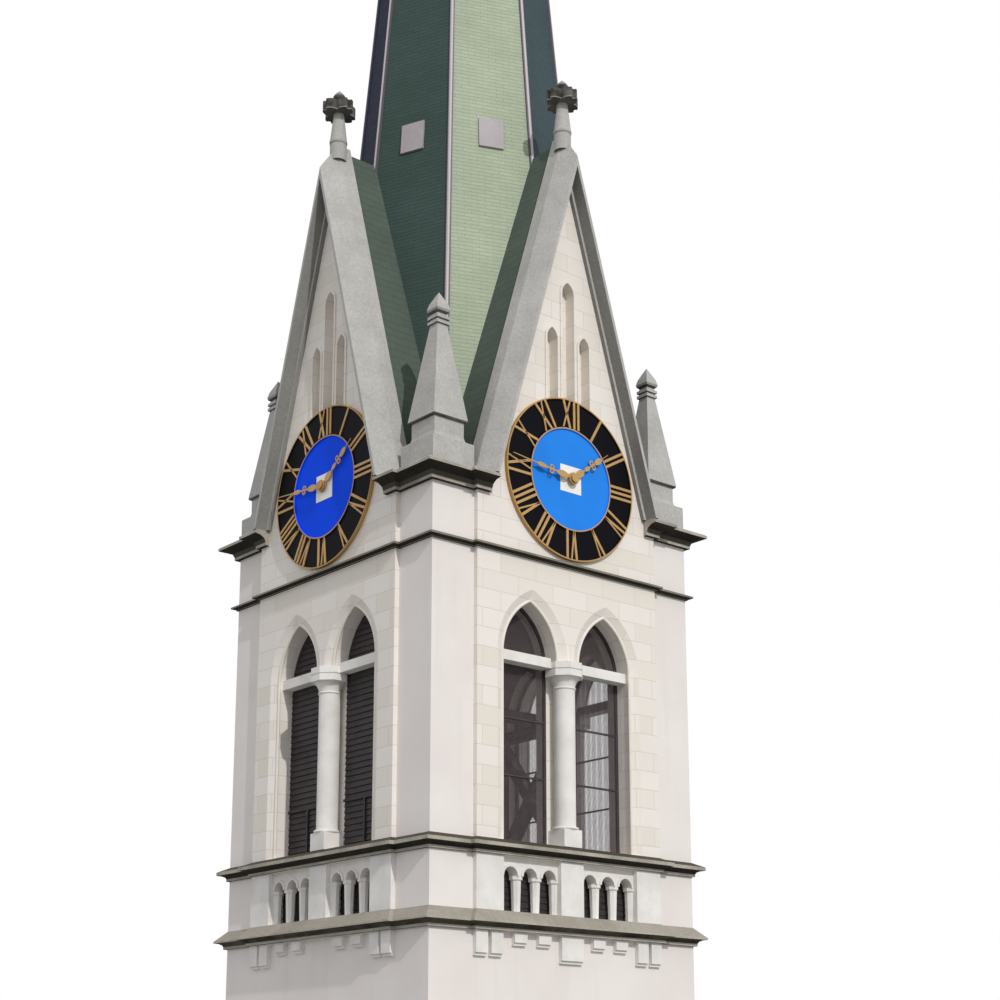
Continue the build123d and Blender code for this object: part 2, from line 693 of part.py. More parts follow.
# Finial of the front gable: drum over the ridge, ring, tapered shaft, notched cross cap and bud
finial_axis = panel_face - coping_flat_front
ring_bottom = gable_apex - finial_ring_drop
shaft_foot = ring_bottom + finial_ring_height
cap_bottom = shaft_foot + finial_shaft_height
cap_top = cap_bottom + finial_cap_height
cap_centre = (finial_cap_width - finial_cap_lobe) / 2
with BuildPart() as finial:
    with BuildSketch(Plane.XY.offset(gable_apex - finial_saddle)):
        with Locations((0, -finial_axis)):
            Circle(finial_base_diameter / 2)
    extrude(amount=finial_saddle - finial_ring_drop)
    with BuildSketch(Plane(origin=(0, -finial_axis, 0), x_dir=(1, 0, 0), z_dir=(0, -1, 0))):
        with BuildLine():
            Polyline((0, ring_bottom), (finial_base_diameter / 2, ring_bottom))
            ThreePointArc((finial_base_diameter / 2, ring_bottom),
                          (finial_ring_diameter / 2, ring_bottom + finial_ring_height / 2),
                          (finial_base_diameter / 2, shaft_foot))
            Polyline((finial_base_diameter / 2, shaft_foot), (finial_neck_diameter / 2, cap_bottom),
                     (0, cap_bottom), (0, ring_bottom))
        make_face()
    revolve(axis=Axis((0, -finial_axis, 0), (0, 0, 1)))
    add(coping.part, mode=Mode.SUBTRACT)
    with BuildSketch(Plane.XY.offset(cap_bottom)):
        with Locations((0, -finial_axis)):
            Rectangle(finial_cap_width - finial_cap_lobe, finial_cap_lobe)
            Rectangle(finial_cap_lobe, finial_cap_width - finial_cap_lobe)
        with Locations(*[(x, y - finial_axis) for x, y in ((cap_centre, 0), (-cap_centre, 0), (0, cap_centre),
                                                           (0, -cap_centre))]):
            Circle(finial_cap_lobe / 2)
        half_cap = finial_cap_width / 2
        with Locations(*[(x, y - finial_axis) for x, y in ((half_cap, 0), (-half_cap, 0), (0, half_cap),
                                                           (0, -half_cap))]):
            Circle(finial_cap_notch / 2, mode=Mode.SUBTRACT)
    extrude(amount=finial_cap_height)
    with BuildSketch(Plane(origin=(0, -finial_axis, 0), x_dir=(1, 0, 0), z_dir=(0, -1, 0))):
        with BuildLine():
            bud = [(x * finial_bud_diameter / 2, cap_top + y * finial_bud_height) for x, y in finial_bud_shares]
            Spline(*bud)
            Polyline(bud[-1], (0, bud[-1][1]), (0, cap_top), bud[0])
        make_face()
    revolve(axis=Axis((0, -finial_axis, 0), (0, 0, 1)))
save_corners(finial.part, "gable_finials")

# Pinnacle: square base with hollow shoulders, neck, obelisk, double collar and a square bud
with BuildPart() as pinnacle:
    level = gable_level
    blocks = [(level, pier_side), (level + pinnacle_base_height, pier_side)]
    shoulder = (pier_side - pinnacle_neck_side) / 2
    level += pinnacle_base_height
    for rise, inset in cavetto(0, pinnacle_shoulder_height, 0, shoulder)[1:]:
        blocks.append((level + rise, pier_side - 2 * inset))
    level += pinnacle_shoulder_height
    blocks.append((level + pinnacle_neck_height, pinnacle_neck_side))
    for low, side in blocks:
        with BuildSketch(Plane.XY.offset(low)):
            with Locations((pier_axis, -pier_axis)):
                Rectangle(side, side)
    loft(ruled=True)
    level += pinnacle_neck_height
    obelisk_top = level + pinnacle_obelisk_height
    for low, side in ((level, pinnacle_foot_side - pinnacle_foot_height),
                      (level + pinnacle_foot_height, pinnacle_foot_side), (obelisk_top, pinnacle_top_side)):
        with BuildSketch(Plane.XY.offset(low)):
            with Locations((pier_axis, -pier_axis)):
                Rectangle(side, side)
    loft(ruled=True)
    collar_step = pinnacle_collar_height + pinnacle_collar_gap
    with BuildSketch(Plane.XY.offset(obelisk_top)):
        with Locations((pier_axis, -pier_axis)):
            Rectangle(pinnacle_top_side, pinnacle_top_side)
    extrude(amount=2 * collar_step)
    for low in (obelisk_top, obelisk_top + collar_step):
        with BuildSketch(Plane.XY.offset(low)):
            with Locations((pier_axis, -pier_axis)):
                Rectangle(pinnacle_collar_side, pinnacle_collar_side)
        extrude(amount=pinnacle_collar_height)
    bud_level = obelisk_top + 2 * collar_step
    for rise, side in pinnacle_bud_shares:
        with BuildSketch(Plane.XY.offset(bud_level + rise * pinnacle_bud_height)):
            with Locations((pier_axis, -pier_axis)):
                Rectangle(side * pinnacle_bud_side, side * pinnacle_bud_side)
    loft(ruled=True)
save_corners(pinnacle.part, "pinnacles")


def spire_solid(base_radius, bottom, top):
    """Part of an eight-sided pyramid with the spire's slope, between two heights above the cornice."""
    with BuildPart() as pyramid:
        for rise in (bottom, top):
            radius = base_radius - rise * spire_radius / spire_height
            with BuildSketch(Plane.XY.offset(cornice_level + rise)):
                RegularPolygon(radius, spire_sides)
        loft(ruled=True)
    return pyramid.part


# Ring beam that carries the spire on the ledges of the belfry walls
with BuildPart() as ring_beam:
    with BuildSketch(Plane.XY.offset(string_level)):
        Polygon(*cross_outline(gable_inner - ring_beam_clearance), align=None)
        RegularPolygon(ring_beam_inner_radius, spire_sides, mode=Mode.SUBTRACT)
    extrude(amount=clock_stage_height)
save(ring_beam.part, "ring_beam")

# Spire as an octagonal shell with its arrises on the faces' middles and on the corners
face_turn = 360 / spire_sides
half_face = radians(face_turn / 2)
spire_top = spire_height - spire_cap_length
inner_radius = spire_radius - spire_shell / cos(half_face)
inner_top = (inner_radius - spire_shell) * spire_height / spire_radius
with BuildPart() as spire:
    add(spire_solid(spire_radius, 0, spire_top))
    add(spire_solid(inner_radius, 0, inner_top), mode=Mode.SUBTRACT)
save(spire.part, "spire")

# Roofs from the copings back to the spire
with BuildPart() as roof:
    with BuildSketch(facade_plane(panel_face - coping_back)):
        chevron(gable_roof_step, gable_roof_step + gable_roof_depth)
    extrude(amount=-panel_face + coping_back)
with BuildPart() as gable_roofs:
    for turn in corner_angles:
        add(roof.part, rotation=(0, 0, turn))
    add(spire_solid(spire_radius + seat_clearance, 0, spire_top), mode=Mode.SUBTRACT)
save(gable_roofs.part, "gable_roofs")


def spire_radius_at(rise):
    return spire_radius * (1 - rise / spire_height)


# Hip strips along the arrises, from the ridges of the roofs and from the valleys behind the pinnacles
ridge_foot = gable_apex - gable_roof_step - hip_seat_drop - cornice_level
hips = []
for number in range(spire_sides):
    turn = radians(number * face_turn)
    foot = ridge_foot if number % 2 == 0 else hip_foot_level
    with BuildPart() as hip:
        for rise, half in ((foot, hip_half_width), (spire_top, hip_top_half_width)):
            radius = spire_radius_at(rise)
            arris = Plane(origin=(0, 0, cornice_level + rise), x_dir=(cos(turn), sin(turn), 0), z_dir=(0, 0, 1))
            back = radius - half * sin(half_face)
            reach = half * cos(half_face)
            skin = hip_thickness / cos(half_face)
            with BuildSketch(arris):
                Polygon((radius, 0), (back, reach), (back + skin, reach), (radius + skin, 0),
                        (back + skin, -reach), (back, -reach), align=None)
        loft(ruled=True)
        add(gable_roofs.part, mode=Mode.SUBTRACT)
    hips.append(hip.part)
save(Compound(children=hips), "spire_hips")

# Hatches on the spire's faces beside the front right corner, and on the opposite faces
face_lean = atan(spire_radius * cos(half_face) / spire_height)
hatches = []
for turn in (-1.5 * face_turn, -0.5 * face_turn, 2.5 * face_turn, 3.5 * face_turn):
    c, s = cos(radians(turn)), sin(radians(turn))
    reach = spire_radius_at(hatch_level) * cos(half_face)
    face = Plane(origin=(reach * c, reach * s, cornice_level + hatch_level), x_dir=(-s, c, 0),
                 z_dir=(c * cos(face_lean), s * cos(face_lean), sin(face_lean)))
    with BuildPart() as hatch:
        with BuildSketch(face):
            Rectangle(hatch_width, hatch_height)
        extrude(amount=hatch_thickness)
    hatches.append(hatch.part)
save(Compound(children=hatches), "spire_hatches")

# Plain finial on the spire's top
finial_foot = cornice_level + spire_top
ball_centre = finial_foot + spire_collar_height + spire_ball_diameter / 2
rod_top = ball_centre + spire_ball_diameter / 2 + spire_rod_length
with BuildPart() as spire_finial:
    with BuildSketch(Plane.XY.offset(finial_foot)):
        Circle(spire_collar_diameter / 2)
    with BuildSketch(Plane.XY.offset(finial_foot + spire_collar_height)):
        Circle(spire_rod_diameter / 2)
    loft()
    with BuildSketch(Plane.XZ):
        with BuildLine():
            ThreePointArc((0, ball_centre - spire_ball_diameter / 2), (spire_ball_diameter / 2, ball_centre),
                          (0, ball_centre + spire_ball_diameter / 2))
            Polyline((0, ball_centre + spire_ball_diameter / 2), (0, ball_centre - spire_ball_diameter / 2))
        make_face()
    revolve(axis=Axis.Z)
    with BuildSketch(Plane.XY.offset(finial_foot + spire_collar_height - overrun)):
        Circle(spire_rod_diameter / 2)
    with BuildSketch(Plane.XY.offset(rod_top)):
        Circle(spire_rod_tip_diameter / 2)
    loft()
save(spire_finial.part, "spire_finial")

# Dial of the front: raised figure ring with two rims, sunk centre and a stepped arbor with a head
dial_front = panel_face + dial_thickness
rim_front = dial_front + dial_rim_proud
hour_back = rim_front + hand_clearance
minute_back = hour_back + hand_thickness + hand_clearance
head_back = minute_back + hand_thickness + hand_clearance
with BuildPart() as dial:
    for radius, hole, far in ((dial_radius, 0, dial_front - dial_centre_recess),
                              (dial_radius, dial_centre_radius, dial_front),
                              (dial_radius, dial_radius - dial_rim_width, rim_front),
                              (dial_centre_radius + dial_rim_width, dial_centre_radius, rim_front)):
        with BuildSketch(facade_plane(panel_face)):
            with Locations((0, dial_centre_level)):
                Circle(radius)
                if hole:
                    Circle(hole, mode=Mode.SUBTRACT)
        extrude(amount=far - panel_face)
    for diameter, near, far in ((arbor_diameter, panel_face, minute_back - hand_clearance / 2),
                                (arbor_tip_diameter, panel_face, head_back),
                                (arbor_head_diameter, head_back, head_back + arbor_head_height)):
        with BuildSketch(facade_plane(near)):
            with Locations((0, dial_centre_level)):
                Circle(diameter / 2)
        extrude(amount=far - near)
save_sides(dial.part, "dial")


def leaf(start, end, half):
    """Pointed leaf along the hand, drawn in the current sketch."""
    middle = (start + end) / 2
    with BuildLine() as outline:
        ThreePointArc((0, start), (half, middle), (0, end))
        ThreePointArc((0, end), (-half, middle), (0, start))
    make_face(outline.edges())


def clock_hand(length, angle, back, bore, leaf_shares, loop_shares):
    """Hand of the front dial: hub, tapered stem, leaves and two loops, turned clockwise from twelve."""
    c, d = cos(radians(angle)), sin(radians(angle))
    foot, point = stem_share * length, point_share * length
    loop_place, loop_radius, loop_apart = [share * length for share in loop_shares]
    loops = [(s * loop_apart, loop_place) for s in (-1, 1)]
    with BuildPart() as hand:
        with BuildSketch(Plane(origin=(0, -back, dial_centre_level), x_dir=(c, 0, -d), z_dir=(0, -1, 0))):
            Circle(hub_diameter / 2)
            Polygon((-foot, 0), (foot, 0), (point, length), (-point, length), align=None)
            for start, end, half in leaf_shares:
                leaf(start * length, end * length, half * length)
            with Locations(*loops):
                Circle(loop_radius)
            with Locations(*loops):
                Circle(loop_radius * loop_hole_share, mode=Mode.SUBTRACT)
            Circle(bore / 2 + arbor_fit, mode=Mode.SUBTRACT)
        extrude(amount=hand_thickness)
    return hand.part


hour_hand = clock_hand(hour_hand_length, hour_angle, hour_back, arbor_diameter, hour_leaf_shares,
                       hour_loop_shares)
minute_hand = clock_hand(minute_hand_length, minute_angle, minute_back, arbor_tip_diameter,
                         minute_leaf_shares, minute_loop_shares)
save_sides(hour_hand, "hour_hand")
save_sides(minute_hand, "minute_hand")
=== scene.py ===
from math import acos, atan2, cos, hypot, radians, sin, sqrt

import bpy
from bpy.props import FloatProperty, FloatVectorProperty, PointerProperty
from bpy.types import Operator, Panel, PropertyGroup
from mathutils import Matrix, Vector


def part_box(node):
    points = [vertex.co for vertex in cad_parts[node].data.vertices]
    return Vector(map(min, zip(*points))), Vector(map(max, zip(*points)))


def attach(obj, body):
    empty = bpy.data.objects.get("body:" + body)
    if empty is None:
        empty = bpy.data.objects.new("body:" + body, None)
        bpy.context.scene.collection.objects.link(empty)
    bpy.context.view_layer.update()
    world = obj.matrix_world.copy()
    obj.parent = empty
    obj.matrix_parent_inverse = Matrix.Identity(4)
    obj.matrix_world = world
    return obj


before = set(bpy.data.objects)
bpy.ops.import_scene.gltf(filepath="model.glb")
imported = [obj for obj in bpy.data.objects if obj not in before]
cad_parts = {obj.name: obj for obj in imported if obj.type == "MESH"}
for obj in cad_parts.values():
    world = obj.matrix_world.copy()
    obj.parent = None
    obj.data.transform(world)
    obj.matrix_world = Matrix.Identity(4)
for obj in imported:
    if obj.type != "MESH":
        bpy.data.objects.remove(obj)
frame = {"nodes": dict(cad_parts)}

bl_info = {
    "name": "Church Tower Dressing",
    "version": (1, 0, 0),
    "blender": (4, 5, 0),
    "location": "View3D > Sidebar > Tower",
    "description": "Dresses the clock tower's stone, slate, dials and belfry openings",
    "category": "Object",
}

MM = 0.001

# Turn in degrees that takes a front piece to each other side
SIDE_TURNS = {"right": 90, "back": 180, "left": 270}

HOURS = ("I", "II", "III", "IV", "V", "VI", "VII", "VIII", "IX", "X", "XI", "XII")

# Widths of the letters of a numeral, counted in thick strokes
LETTER_WIDTHS = {"I": 2.0, "V": 4.4, "X": 5.2}

# Sockets of a Mix node that mixes two colours
SHARE, FIRST, SECOND, MIXED = 0, 6, 7, 2

# Camera of the reference view: place and farthest sight in metres, pitch, heading, lens and its rise
EYE = (13.521, -10.86, 4.555)
FARTHEST = 2000
PITCH = radians(12.81)
HEADING = radians(49.86)
LENS_MM = 63.22
SENSOR_MM = 36
LENS_RISE = 0.2

# Sun over the right side, a little towards the front, and a soft sky
SUN_HEIGHT = radians(34)
SUN_HEADING = radians(78.5)
SUN_WIDTH = radians(1.0)
SUN_STRENGTH = 1.75
SUN_COLOUR = "FFFDF9"
SKY_STRENGTH = 0.82
SKY_COLOUR = "F0F2F6"

# Floor as the camera sees it, and as it throws light up
FLOOR_SEEN = "F4F3F1"
FLOOR_BOUNCE = "979693"


def linear(code):
    """Linear RGBA from an sRGB hex value."""
    parts = [int(code[i:i + 2], 16) / 255 for i in (0, 2, 4)]
    return tuple(c / 12.92 if c <= 0.04045 else ((c + 0.055) / 1.055) ** 2.4 for c in parts) + (1.0,)


def length(name, description, millimetres):
    """Property for a size, given in millimetres and kept in metres."""
    return FloatProperty(name=name, description=description, default=millimetres * MM,
                         min=0.0, unit="LENGTH")


def colour(name, description, code):
    """Property for a colour, given as an sRGB hex value."""
    return FloatVectorProperty(name=name, description=description, default=linear(code), size=4,
                               min=0.0, max=1.0, subtype="COLOR")


class TowerSizes(PropertyGroup):
    """Sizes of the work that is drawn or laid on the solids."""
    ashlar_course: length("Ashlar course", "Height of a course of dressed stone", 182)
    ashlar_block: length("Ashlar block", "Length of a block of dressed stone", 430)
    joint: length("Joint", "Width of a joint between blocks", 3.5)
    slate_course: length("Slate course", "Height of slate that shows in a course of the spire", 42)
    gable_course: length("Gable slate course", "Height of slate that shows in a gable roof's course", 84)
    slate_width: length("Slate width", "Width of one slate", 150)
    hip_roll: length("Hip roll", "Width of the pale middle of a hip strip", 24)
    opening_width: length("Opening width", "Width of a pointed belfry opening", 680)
    splay_depth: length("Splay depth", "Depth of the splay round an opening", 45)
    roll: length("Roll", "Thickness of the roll round an opening", 30)
    board_pitch: length("Board pitch", "Height from one louvre board to the next", 58)
    board_thickness: length("Board thickness", "Thickness of a louvre board", 12)
    hatch_height: length("Board hatch", "Height of the hatch in the louvre boards", 470)
    batten: length("Batten", "Width of a batten of that hatch", 26)
    wire_pitch: length("Wire pitch", "Distance between the wires of the mesh", 11)
    wire: length("Wire", "Thickness of a mesh wire", 2.0)
    finial_cap: length("Finial cap", "Height of the sooty cap and bud of a gable finial", 275)
    arcade_inner: length("Arcade start", "Distance of an arcade's near end from the middle", 140)
    arcade_outer: length("Arcade end", "Distance of an arcade's far end from the middle", 825)
    arcade_foot: length("Arcade foot", "Height of the arches' foot above the parapet's underside", 180)
    arcade_height: length("Arcade height", "Height of the arches", 405)
    arcade_depth: length("Arcade depth", "Depth of the arcade's back behind the panel's face", 160)
    dial_centre: length("Dial centre", "Radius of the blue centre", 505)
    gilt_line: length("Gilt line", "Width of the gilded line on a rim", 13)
    dial_ring_proud: length("Figure ring", "Distance of the figure ring's face from the wall", 30)
    dial_centre_proud: length("Sunk centre", "Distance of the sunk centre's face from the wall", 24)
    arbor_head: length("Arbor head", "Radius of the arbor's gilded head", 43)
    numeral_stroke: length("Numeral stroke", "Width of a thick bar of a numeral", 27)
    numeral_hairline: length("Numeral hairline", "Width of a thin bar of a numeral", 17)
    numeral_depth: length("Numeral depth", "How far the numerals stand proud of the figure ring", 10)
    centre_plate: length("Centre plate", "Side of the white plate behind the hands", 270)
    plate_thickness: length("Plate thickness", "Thickness of the white plate", 8)


class TowerColours(PropertyGroup):
    """Colours of the finishes."""
    plaster: colour("Plaster", "Smooth lime plaster", "EDE7E3")
    plaster_cloud: colour("Plaster clouds", "Slightly darker clouds in the plaster", "E5DEDA")
    plaster_run: colour("Plaster runs", "Faint runs of rain on the plaster", "D6D0CB")
    ashlar_pale: colour("Pale ashlar", "Paler blocks of limestone", "EEE8E1")
    ashlar_warm: colour("Warm ashlar", "Warmer blocks of limestone", "E2DACB")
    ashlar_joint: colour("Joints", "Mortar between the blocks", "D3CCC4")
    smooth_stone: colour("Smooth stone", "Columns, arcades, transoms and corbels", "EEEBE7")
    smooth_stain: colour("Smooth stone stains", "Greyer patches on the smooth stone", "DDD9D4")
    cornice_top: colour("Cornice slope", "Washed slope of the lower cornice", "A8A196")
    cornice_stain: colour("Cornice stains", "Grey streaks on the lower cornice", "827B6F")
    sill_top: colour("Sill slope", "Weathered slope of the sill and string", "443E33")
    fillet: colour("Moulding fillet", "Cleaner upright fillets of the cornices and sill", "BDB6A9")
    moulding_face: colour("Moulding face", "Upright faces of the string", "918A7E")
    moulding_stain: colour("Moulding stains", "Soot and lichen on the mouldings", "3E3A30")
    # Soot and painted shade: near-black for the mouldings' undersides, also the soot of the finial caps
    moulding_soot_and_shade: colour("Moulding underside", "Soot and painted shade on the undersides of the mouldings", "231F17")
    coping: colour("Coping", "Grey sandstone of copings and pinnacles", "BDBBB7")
    coping_stain: colour("Coping stains", "Darker patches on the grey sandstone", "999892")
    # Soot and painted shade: near-black for the undersides of the grey sandstone
    coping_soot_and_shade: colour("Coping underside", "Soot and painted shade on the undersides of the grey sandstone", "373733")
    # Painted highlight: pale slate on the face turned to the sun
    slate_painted_highlight: colour("Slate highlight", "Painted highlight: pale green slate on the face turned to the sun", "AFB9A2")
    slate_dark: colour("Dark slate", "Green slate on the sides next to it", "455551")
    # Painted shade and sky reflection: blue-grey slate on the faces turned away
    slate_shade_and_sky: colour("Blue slate", "Painted shade and sky reflection: bluer slate on the sides turned away", "455459")
    # Painted shade: dark blue slate on the face turned from the sun
    slate_painted_shade: colour("Shaded slate", "Painted shade: dark blue slate on the front's shaded side", "18223A")
    slate_gable: colour("Gable slate", "Lighter slate of the gable roofs", "5C665A")
    sheet: colour("Sheet metal", "Painted sheet on the hatches and the spire's top", "ADA5A8")
    sheet_streak: colour("Sheet streaks", "Dull streaks on the sheet", "A1989C")
    hip_pale: colour("Hip roll", "Paler rolled middle of the hip strips", "C2B9BC")
    # Painted shade on the flat edges of the hip strips
    hip_painted_shade: colour("Hip edges", "Painted shade on the flat edges of the hip strips", "57525C")
    black: colour("Figure ring", "Black enamel of the figure ring", "0D0D13")
    # Painted light and shade: one blue enamel, in a lit copy and a shaded copy
    blue_sunlit: colour("Sunlit dial centre", "Painted light: paler blue enamel of the sunlit right dial, also used on the left", "2A88EE")
    blue_shaded: colour("Deep dial centre", "Painted shade: deeper blue enamel of the shaded front dial, also used on the back", "044EFA")
    gilt: colour("Gilding", "Gilded rims, numerals and hands", "C29B63")
    gilt_worn: colour("Worn gilding", "Duller places in the gilding", "AC864F")
    white: colour("Centre plate", "White enamel plate", "F7F5F1")
    white_worn: colour("Plate wear", "Greyer places on the plate", "F0EEE9")
    board: colour("Boards", "Dark stained louvre boards", "3C3436")
    board_worn: colour("Board wear", "Darker places on the boards", "2A2527")
    wire: colour("Mesh", "Brown wire mesh", "7E7375")
    wire_worn: colour("Mesh wear", "Darker places on the mesh", "6A6063")
    frame: colour("Mesh frame", "Dark painted frames of the mesh", "4A4245")
    frame_worn: colour("Mesh frame wear", "Darker places on the frames", "3A3437")
    oak: colour("Oak", "Old oak of the bell frame", "6B5D50")
    oak_dark: colour("Dark oak", "Dark grain of the oak", "4B4038")
    concrete: colour("Concrete", "Cast floors and ring beam", "A8A5A0")
    concrete_dark: colour("Dark concrete", "Damp places in the concrete", "8E8B86")


def plug(tree, node, inputs):
    """Links or sets the inputs of a node."""
    for key, value in inputs.items():
        if isinstance(value, bpy.types.NodeSocket):
            tree.links.new(value, node.inputs[key])
        else:
            node.inputs[key].default_value = value


def add_node(tree, kind, inputs=None, **settings):
    """Adds a node, sets it up and links or sets its inputs."""
    node = tree.nodes.new(kind)
    for name, value in settings.items():
        setattr(node, name, value)
    plug(tree, node, inputs or {})
    return node


def new_material(name, roughness, specular=0.5):
    """Material with a plain surface shader, ready for its colour and bump."""
    material = bpy.data.materials.new(name)
    material.use_nodes = True
    surface = material.node_tree.nodes["Principled BSDF"]
    plug(material.node_tree, surface, {"Roughness": roughness, "Specular IOR Level": specular})
    return material, material.node_tree, surface


def face_coordinates(tree, place):
    """Coordinates that run along each upright or sloping face, in metres: across, then up."""
    across = add_node(tree, "ShaderNodeVectorMath", {0: (0, 0, 1), 1: place.outputs["Normal"]},
                      operation="CROSS_PRODUCT")
    unit = add_node(tree, "ShaderNodeVectorMath", {0: across.outputs["Vector"]}, operation="NORMALIZE")
    run = add_node(tree, "ShaderNodeVectorMath", {0: place.outputs["Object"], 1: unit.outputs["Vector"]},
                   operation="DOT_PRODUCT")
    height = add_node(tree, "ShaderNodeSeparateXYZ", {"Vector": place.outputs["Object"]})
    flat = add_node(tree, "ShaderNodeCombineXYZ", {"X": run.outputs["Value"], "Y": height.outputs["Z"]})
    return flat.outputs["Vector"]


def patches(tree, place, size, low=0.0, high=1.0, detail=4):
    """Uneven value between two levels, in patches of about one size in metres."""
    noise = add_node(tree, "ShaderNodeTexNoise", {"Vector": place.outputs["Object"], "Scale": 1 / size,
                                                  "Detail": detail, "Roughness": 0.6})
    level = add_node(tree, "ShaderNodeMapRange", {"Value": noise.outputs["Fac"], "From Min": 0.35,
                                                  "From Max": 0.7, "To Min": low, "To Max": high})
    return level.outputs["Result"]


def lime_plaster(colours):
    """Trowelled lime plaster: almost even and matt, with soft clouds and faint runs of rain."""
    # The trowel marks are coarser than real ones, so that they show in the render
    cloud, trowel_mark, relief = 900 * MM, 14 * MM, 4 * MM
    run_width, run_length = 140 * MM, 1700 * MM
    material, tree, surface = new_material("lime_plaster", roughness=0.88)
    place = add_node(tree, "ShaderNodeTexCoord")
    stretch = add_node(tree, "ShaderNodeMapping", {"Vector": place.outputs["Object"],
                                                   "Scale": (1 / run_width, 1 / run_width, 1 / run_length)})
    runs = add_node(tree, "ShaderNodeTexNoise", {"Vector": stretch.outputs["Vector"], "Scale": 1.0,
                                                 "Detail": 5})
    rain = add_node(tree, "ShaderNodeMapRange", {"Value": runs.outputs["Fac"], "From Min": 0.55,
                                                 "From Max": 0.8, "To Max": 0.3})
    body = add_node(tree, "ShaderNodeMix", {SHARE: patches(tree, place, cloud), FIRST: colours.plaster,
                                            SECOND: colours.plaster_cloud}, data_type="RGBA")
    shade = add_node(tree, "ShaderNodeMix", {SHARE: rain.outputs["Result"], FIRST: body.outputs[MIXED],
                                             SECOND: colours.plaster_run}, data_type="RGBA")
    rough = add_node(tree, "ShaderNodeBump", {"Height": patches(tree, place, trowel_mark, detail=6),
                                              "Strength": 0.1, "Distance": relief})
    plug(tree, surface, {"Base Color": shade.outputs[MIXED], "Normal": rough.outputs["Normal"]})
    return material


def dressed_limestone(sizes, colours):
    """Dressed limestone in courses: pale and warm blocks, thin mortar joints and a fine grain."""
    # The grain is coarser than a real one, so that it shows in the render
    cloud, grain_size, relief = 350 * MM, 10 * MM, 5 * MM
    material, tree, surface = new_material("dressed_limestone", roughness=0.82)
    place = add_node(tree, "ShaderNodeTexCoord")
    blocks = add_node(tree, "ShaderNodeTexBrick",
                      {"Vector": face_coordinates(tree, place), "Color1": colours.ashlar_pale,
                       "Color2": colours.ashlar_warm, "Mortar": colours.ashlar_joint, "Scale": 1.0,
                       "Mortar Size": sizes.joint, "Mortar Smooth": 0.3, "Bias": -0.3,
                       "Brick Width": sizes.ashlar_block, "Row Height": sizes.ashlar_course}, offset=0.5)
    shade = add_node(tree, "ShaderNodeMix",
                     {SHARE: patches(tree, place, cloud, high=0.35), FIRST: blocks.outputs["Color"],
                      SECOND: colours.plaster_cloud}, data_type="RGBA")
    height = add_node(tree, "ShaderNodeMath", {0: patches(tree, place, grain_size, high=0.2, detail=6),
                                               1: blocks.outputs["Fac"]}, operation="SUBTRACT")
    rough = add_node(tree, "ShaderNodeBump", {"Height": height.outputs["Value"], "Strength": 0.35,
                                              "Distance": relief})
    plug(tree, surface, {"Base Color": shade.outputs[MIXED], "Normal": rough.outputs["Normal"]})
    return material


def weathered_stone(name, top, face, soot_and_shade, stain):
    """Sandstone coloured by how a face leans to the rain, soot and painted shade below, lichen and soot in
    patches.
    """
    # The grit is coarser than a real one, so that it shows in the render
    patch, grit, relief = 350 * MM, 26 * MM, 5 * MM
    material, tree, surface = new_material(name, roughness=0.85, specular=0.3)
    place = add_node(tree, "ShaderNodeTexCoord")
    lean = add_node(tree, "ShaderNodeSeparateXYZ", {"Vector": place.outputs["Normal"]})
    rising = add_node(tree, "ShaderNodeMapRange", {"Value": lean.outputs["Z"], "From Min": 0.05,
                                                   "From Max": 0.5})
    hanging = add_node(tree, "ShaderNodeMapRange", {"Value": lean.outputs["Z"], "From Min": -0.05,
                                                    "From Max": -0.45})
    upper = add_node(tree, "ShaderNodeMix", {SHARE: rising.outputs["Result"], FIRST: face, SECOND: top},
                     data_type="RGBA")
    # Soot and painted shade: faces that look down take the near-black underside colour
    body = add_node(tree, "ShaderNodeMix", {SHARE: hanging.outputs["Result"], FIRST: upper.outputs[MIXED],
                                            SECOND: soot_and_shade}, data_type="RGBA")
    lichen = add_node(tree, "ShaderNodeMix", {SHARE: patches(tree, place, patch, high=0.5, detail=6),
                                              FIRST: body.outputs[MIXED], SECOND: stain}, data_type="RGBA")
    shade = add_node(tree, "ShaderNodeMix",
                     {SHARE: 1.0, FIRST: lichen.outputs[MIXED],
                      SECOND: patches(tree, place, grit, low=0.88, high=1.08, detail=5)},
                     data_type="RGBA", blend_type="MULTIPLY")
    rough = add_node(tree, "ShaderNodeBump", {"Height": patches(tree, place, grit, detail=6),
                                              "Strength": 0.3, "Distance": relief})
    plug(tree, surface, {"Base Color": shade.outputs[MIXED], "Normal": rough.outputs["Normal"]})
    return material


def sooty_caps(material, level, soot):
    """Soot on all that stands above a level, mostly washed off the faces that look up."""
    edge, patch = 15 * MM, 120 * MM
    tree = material.node_tree
    surface = tree.nodes["Principled BSDF"]
    clean = surface.inputs["Base Color"].links[0].from_socket
    place = add_node(tree, "ShaderNodeTexCoord")
    parts = add_node(tree, "ShaderNodeSeparateXYZ", {"Vector": place.outputs["Object"]})
    above = add_node(tree, "ShaderNodeMapRange", {"Value": parts.outputs["Z"], "From Min": level,
                                                  "From Max": level + edge})
    lean = add_node(tree, "ShaderNodeSeparateXYZ", {"Vector": place.outputs["Normal"]})
    washed = add_node(tree, "ShaderNodeMapRange", {"Value": lean.outputs["Z"], "From Min": 0.25,
                                                   "From Max": 0.6, "To Min": 1.0, "To Max": 0.3})
    sooty = add_node(tree, "ShaderNodeMath", {0: washed.outputs["Result"],
                                              1: patches(tree, place, patch, low=0.97, high=0.65)},
                     operation="MULTIPLY")
    share = add_node(tree, "ShaderNodeMath", {0: above.outputs["Result"], 1: sooty.outputs["Value"]},
                     operation="MULTIPLY")
    shade = add_node(tree, "ShaderNodeMix", {SHARE: share.outputs["Value"], FIRST: clean, SECOND: soot},
                     data_type="RGBA")
    plug(tree, surface, {"Base Color": shade.outputs[MIXED]})
    return material


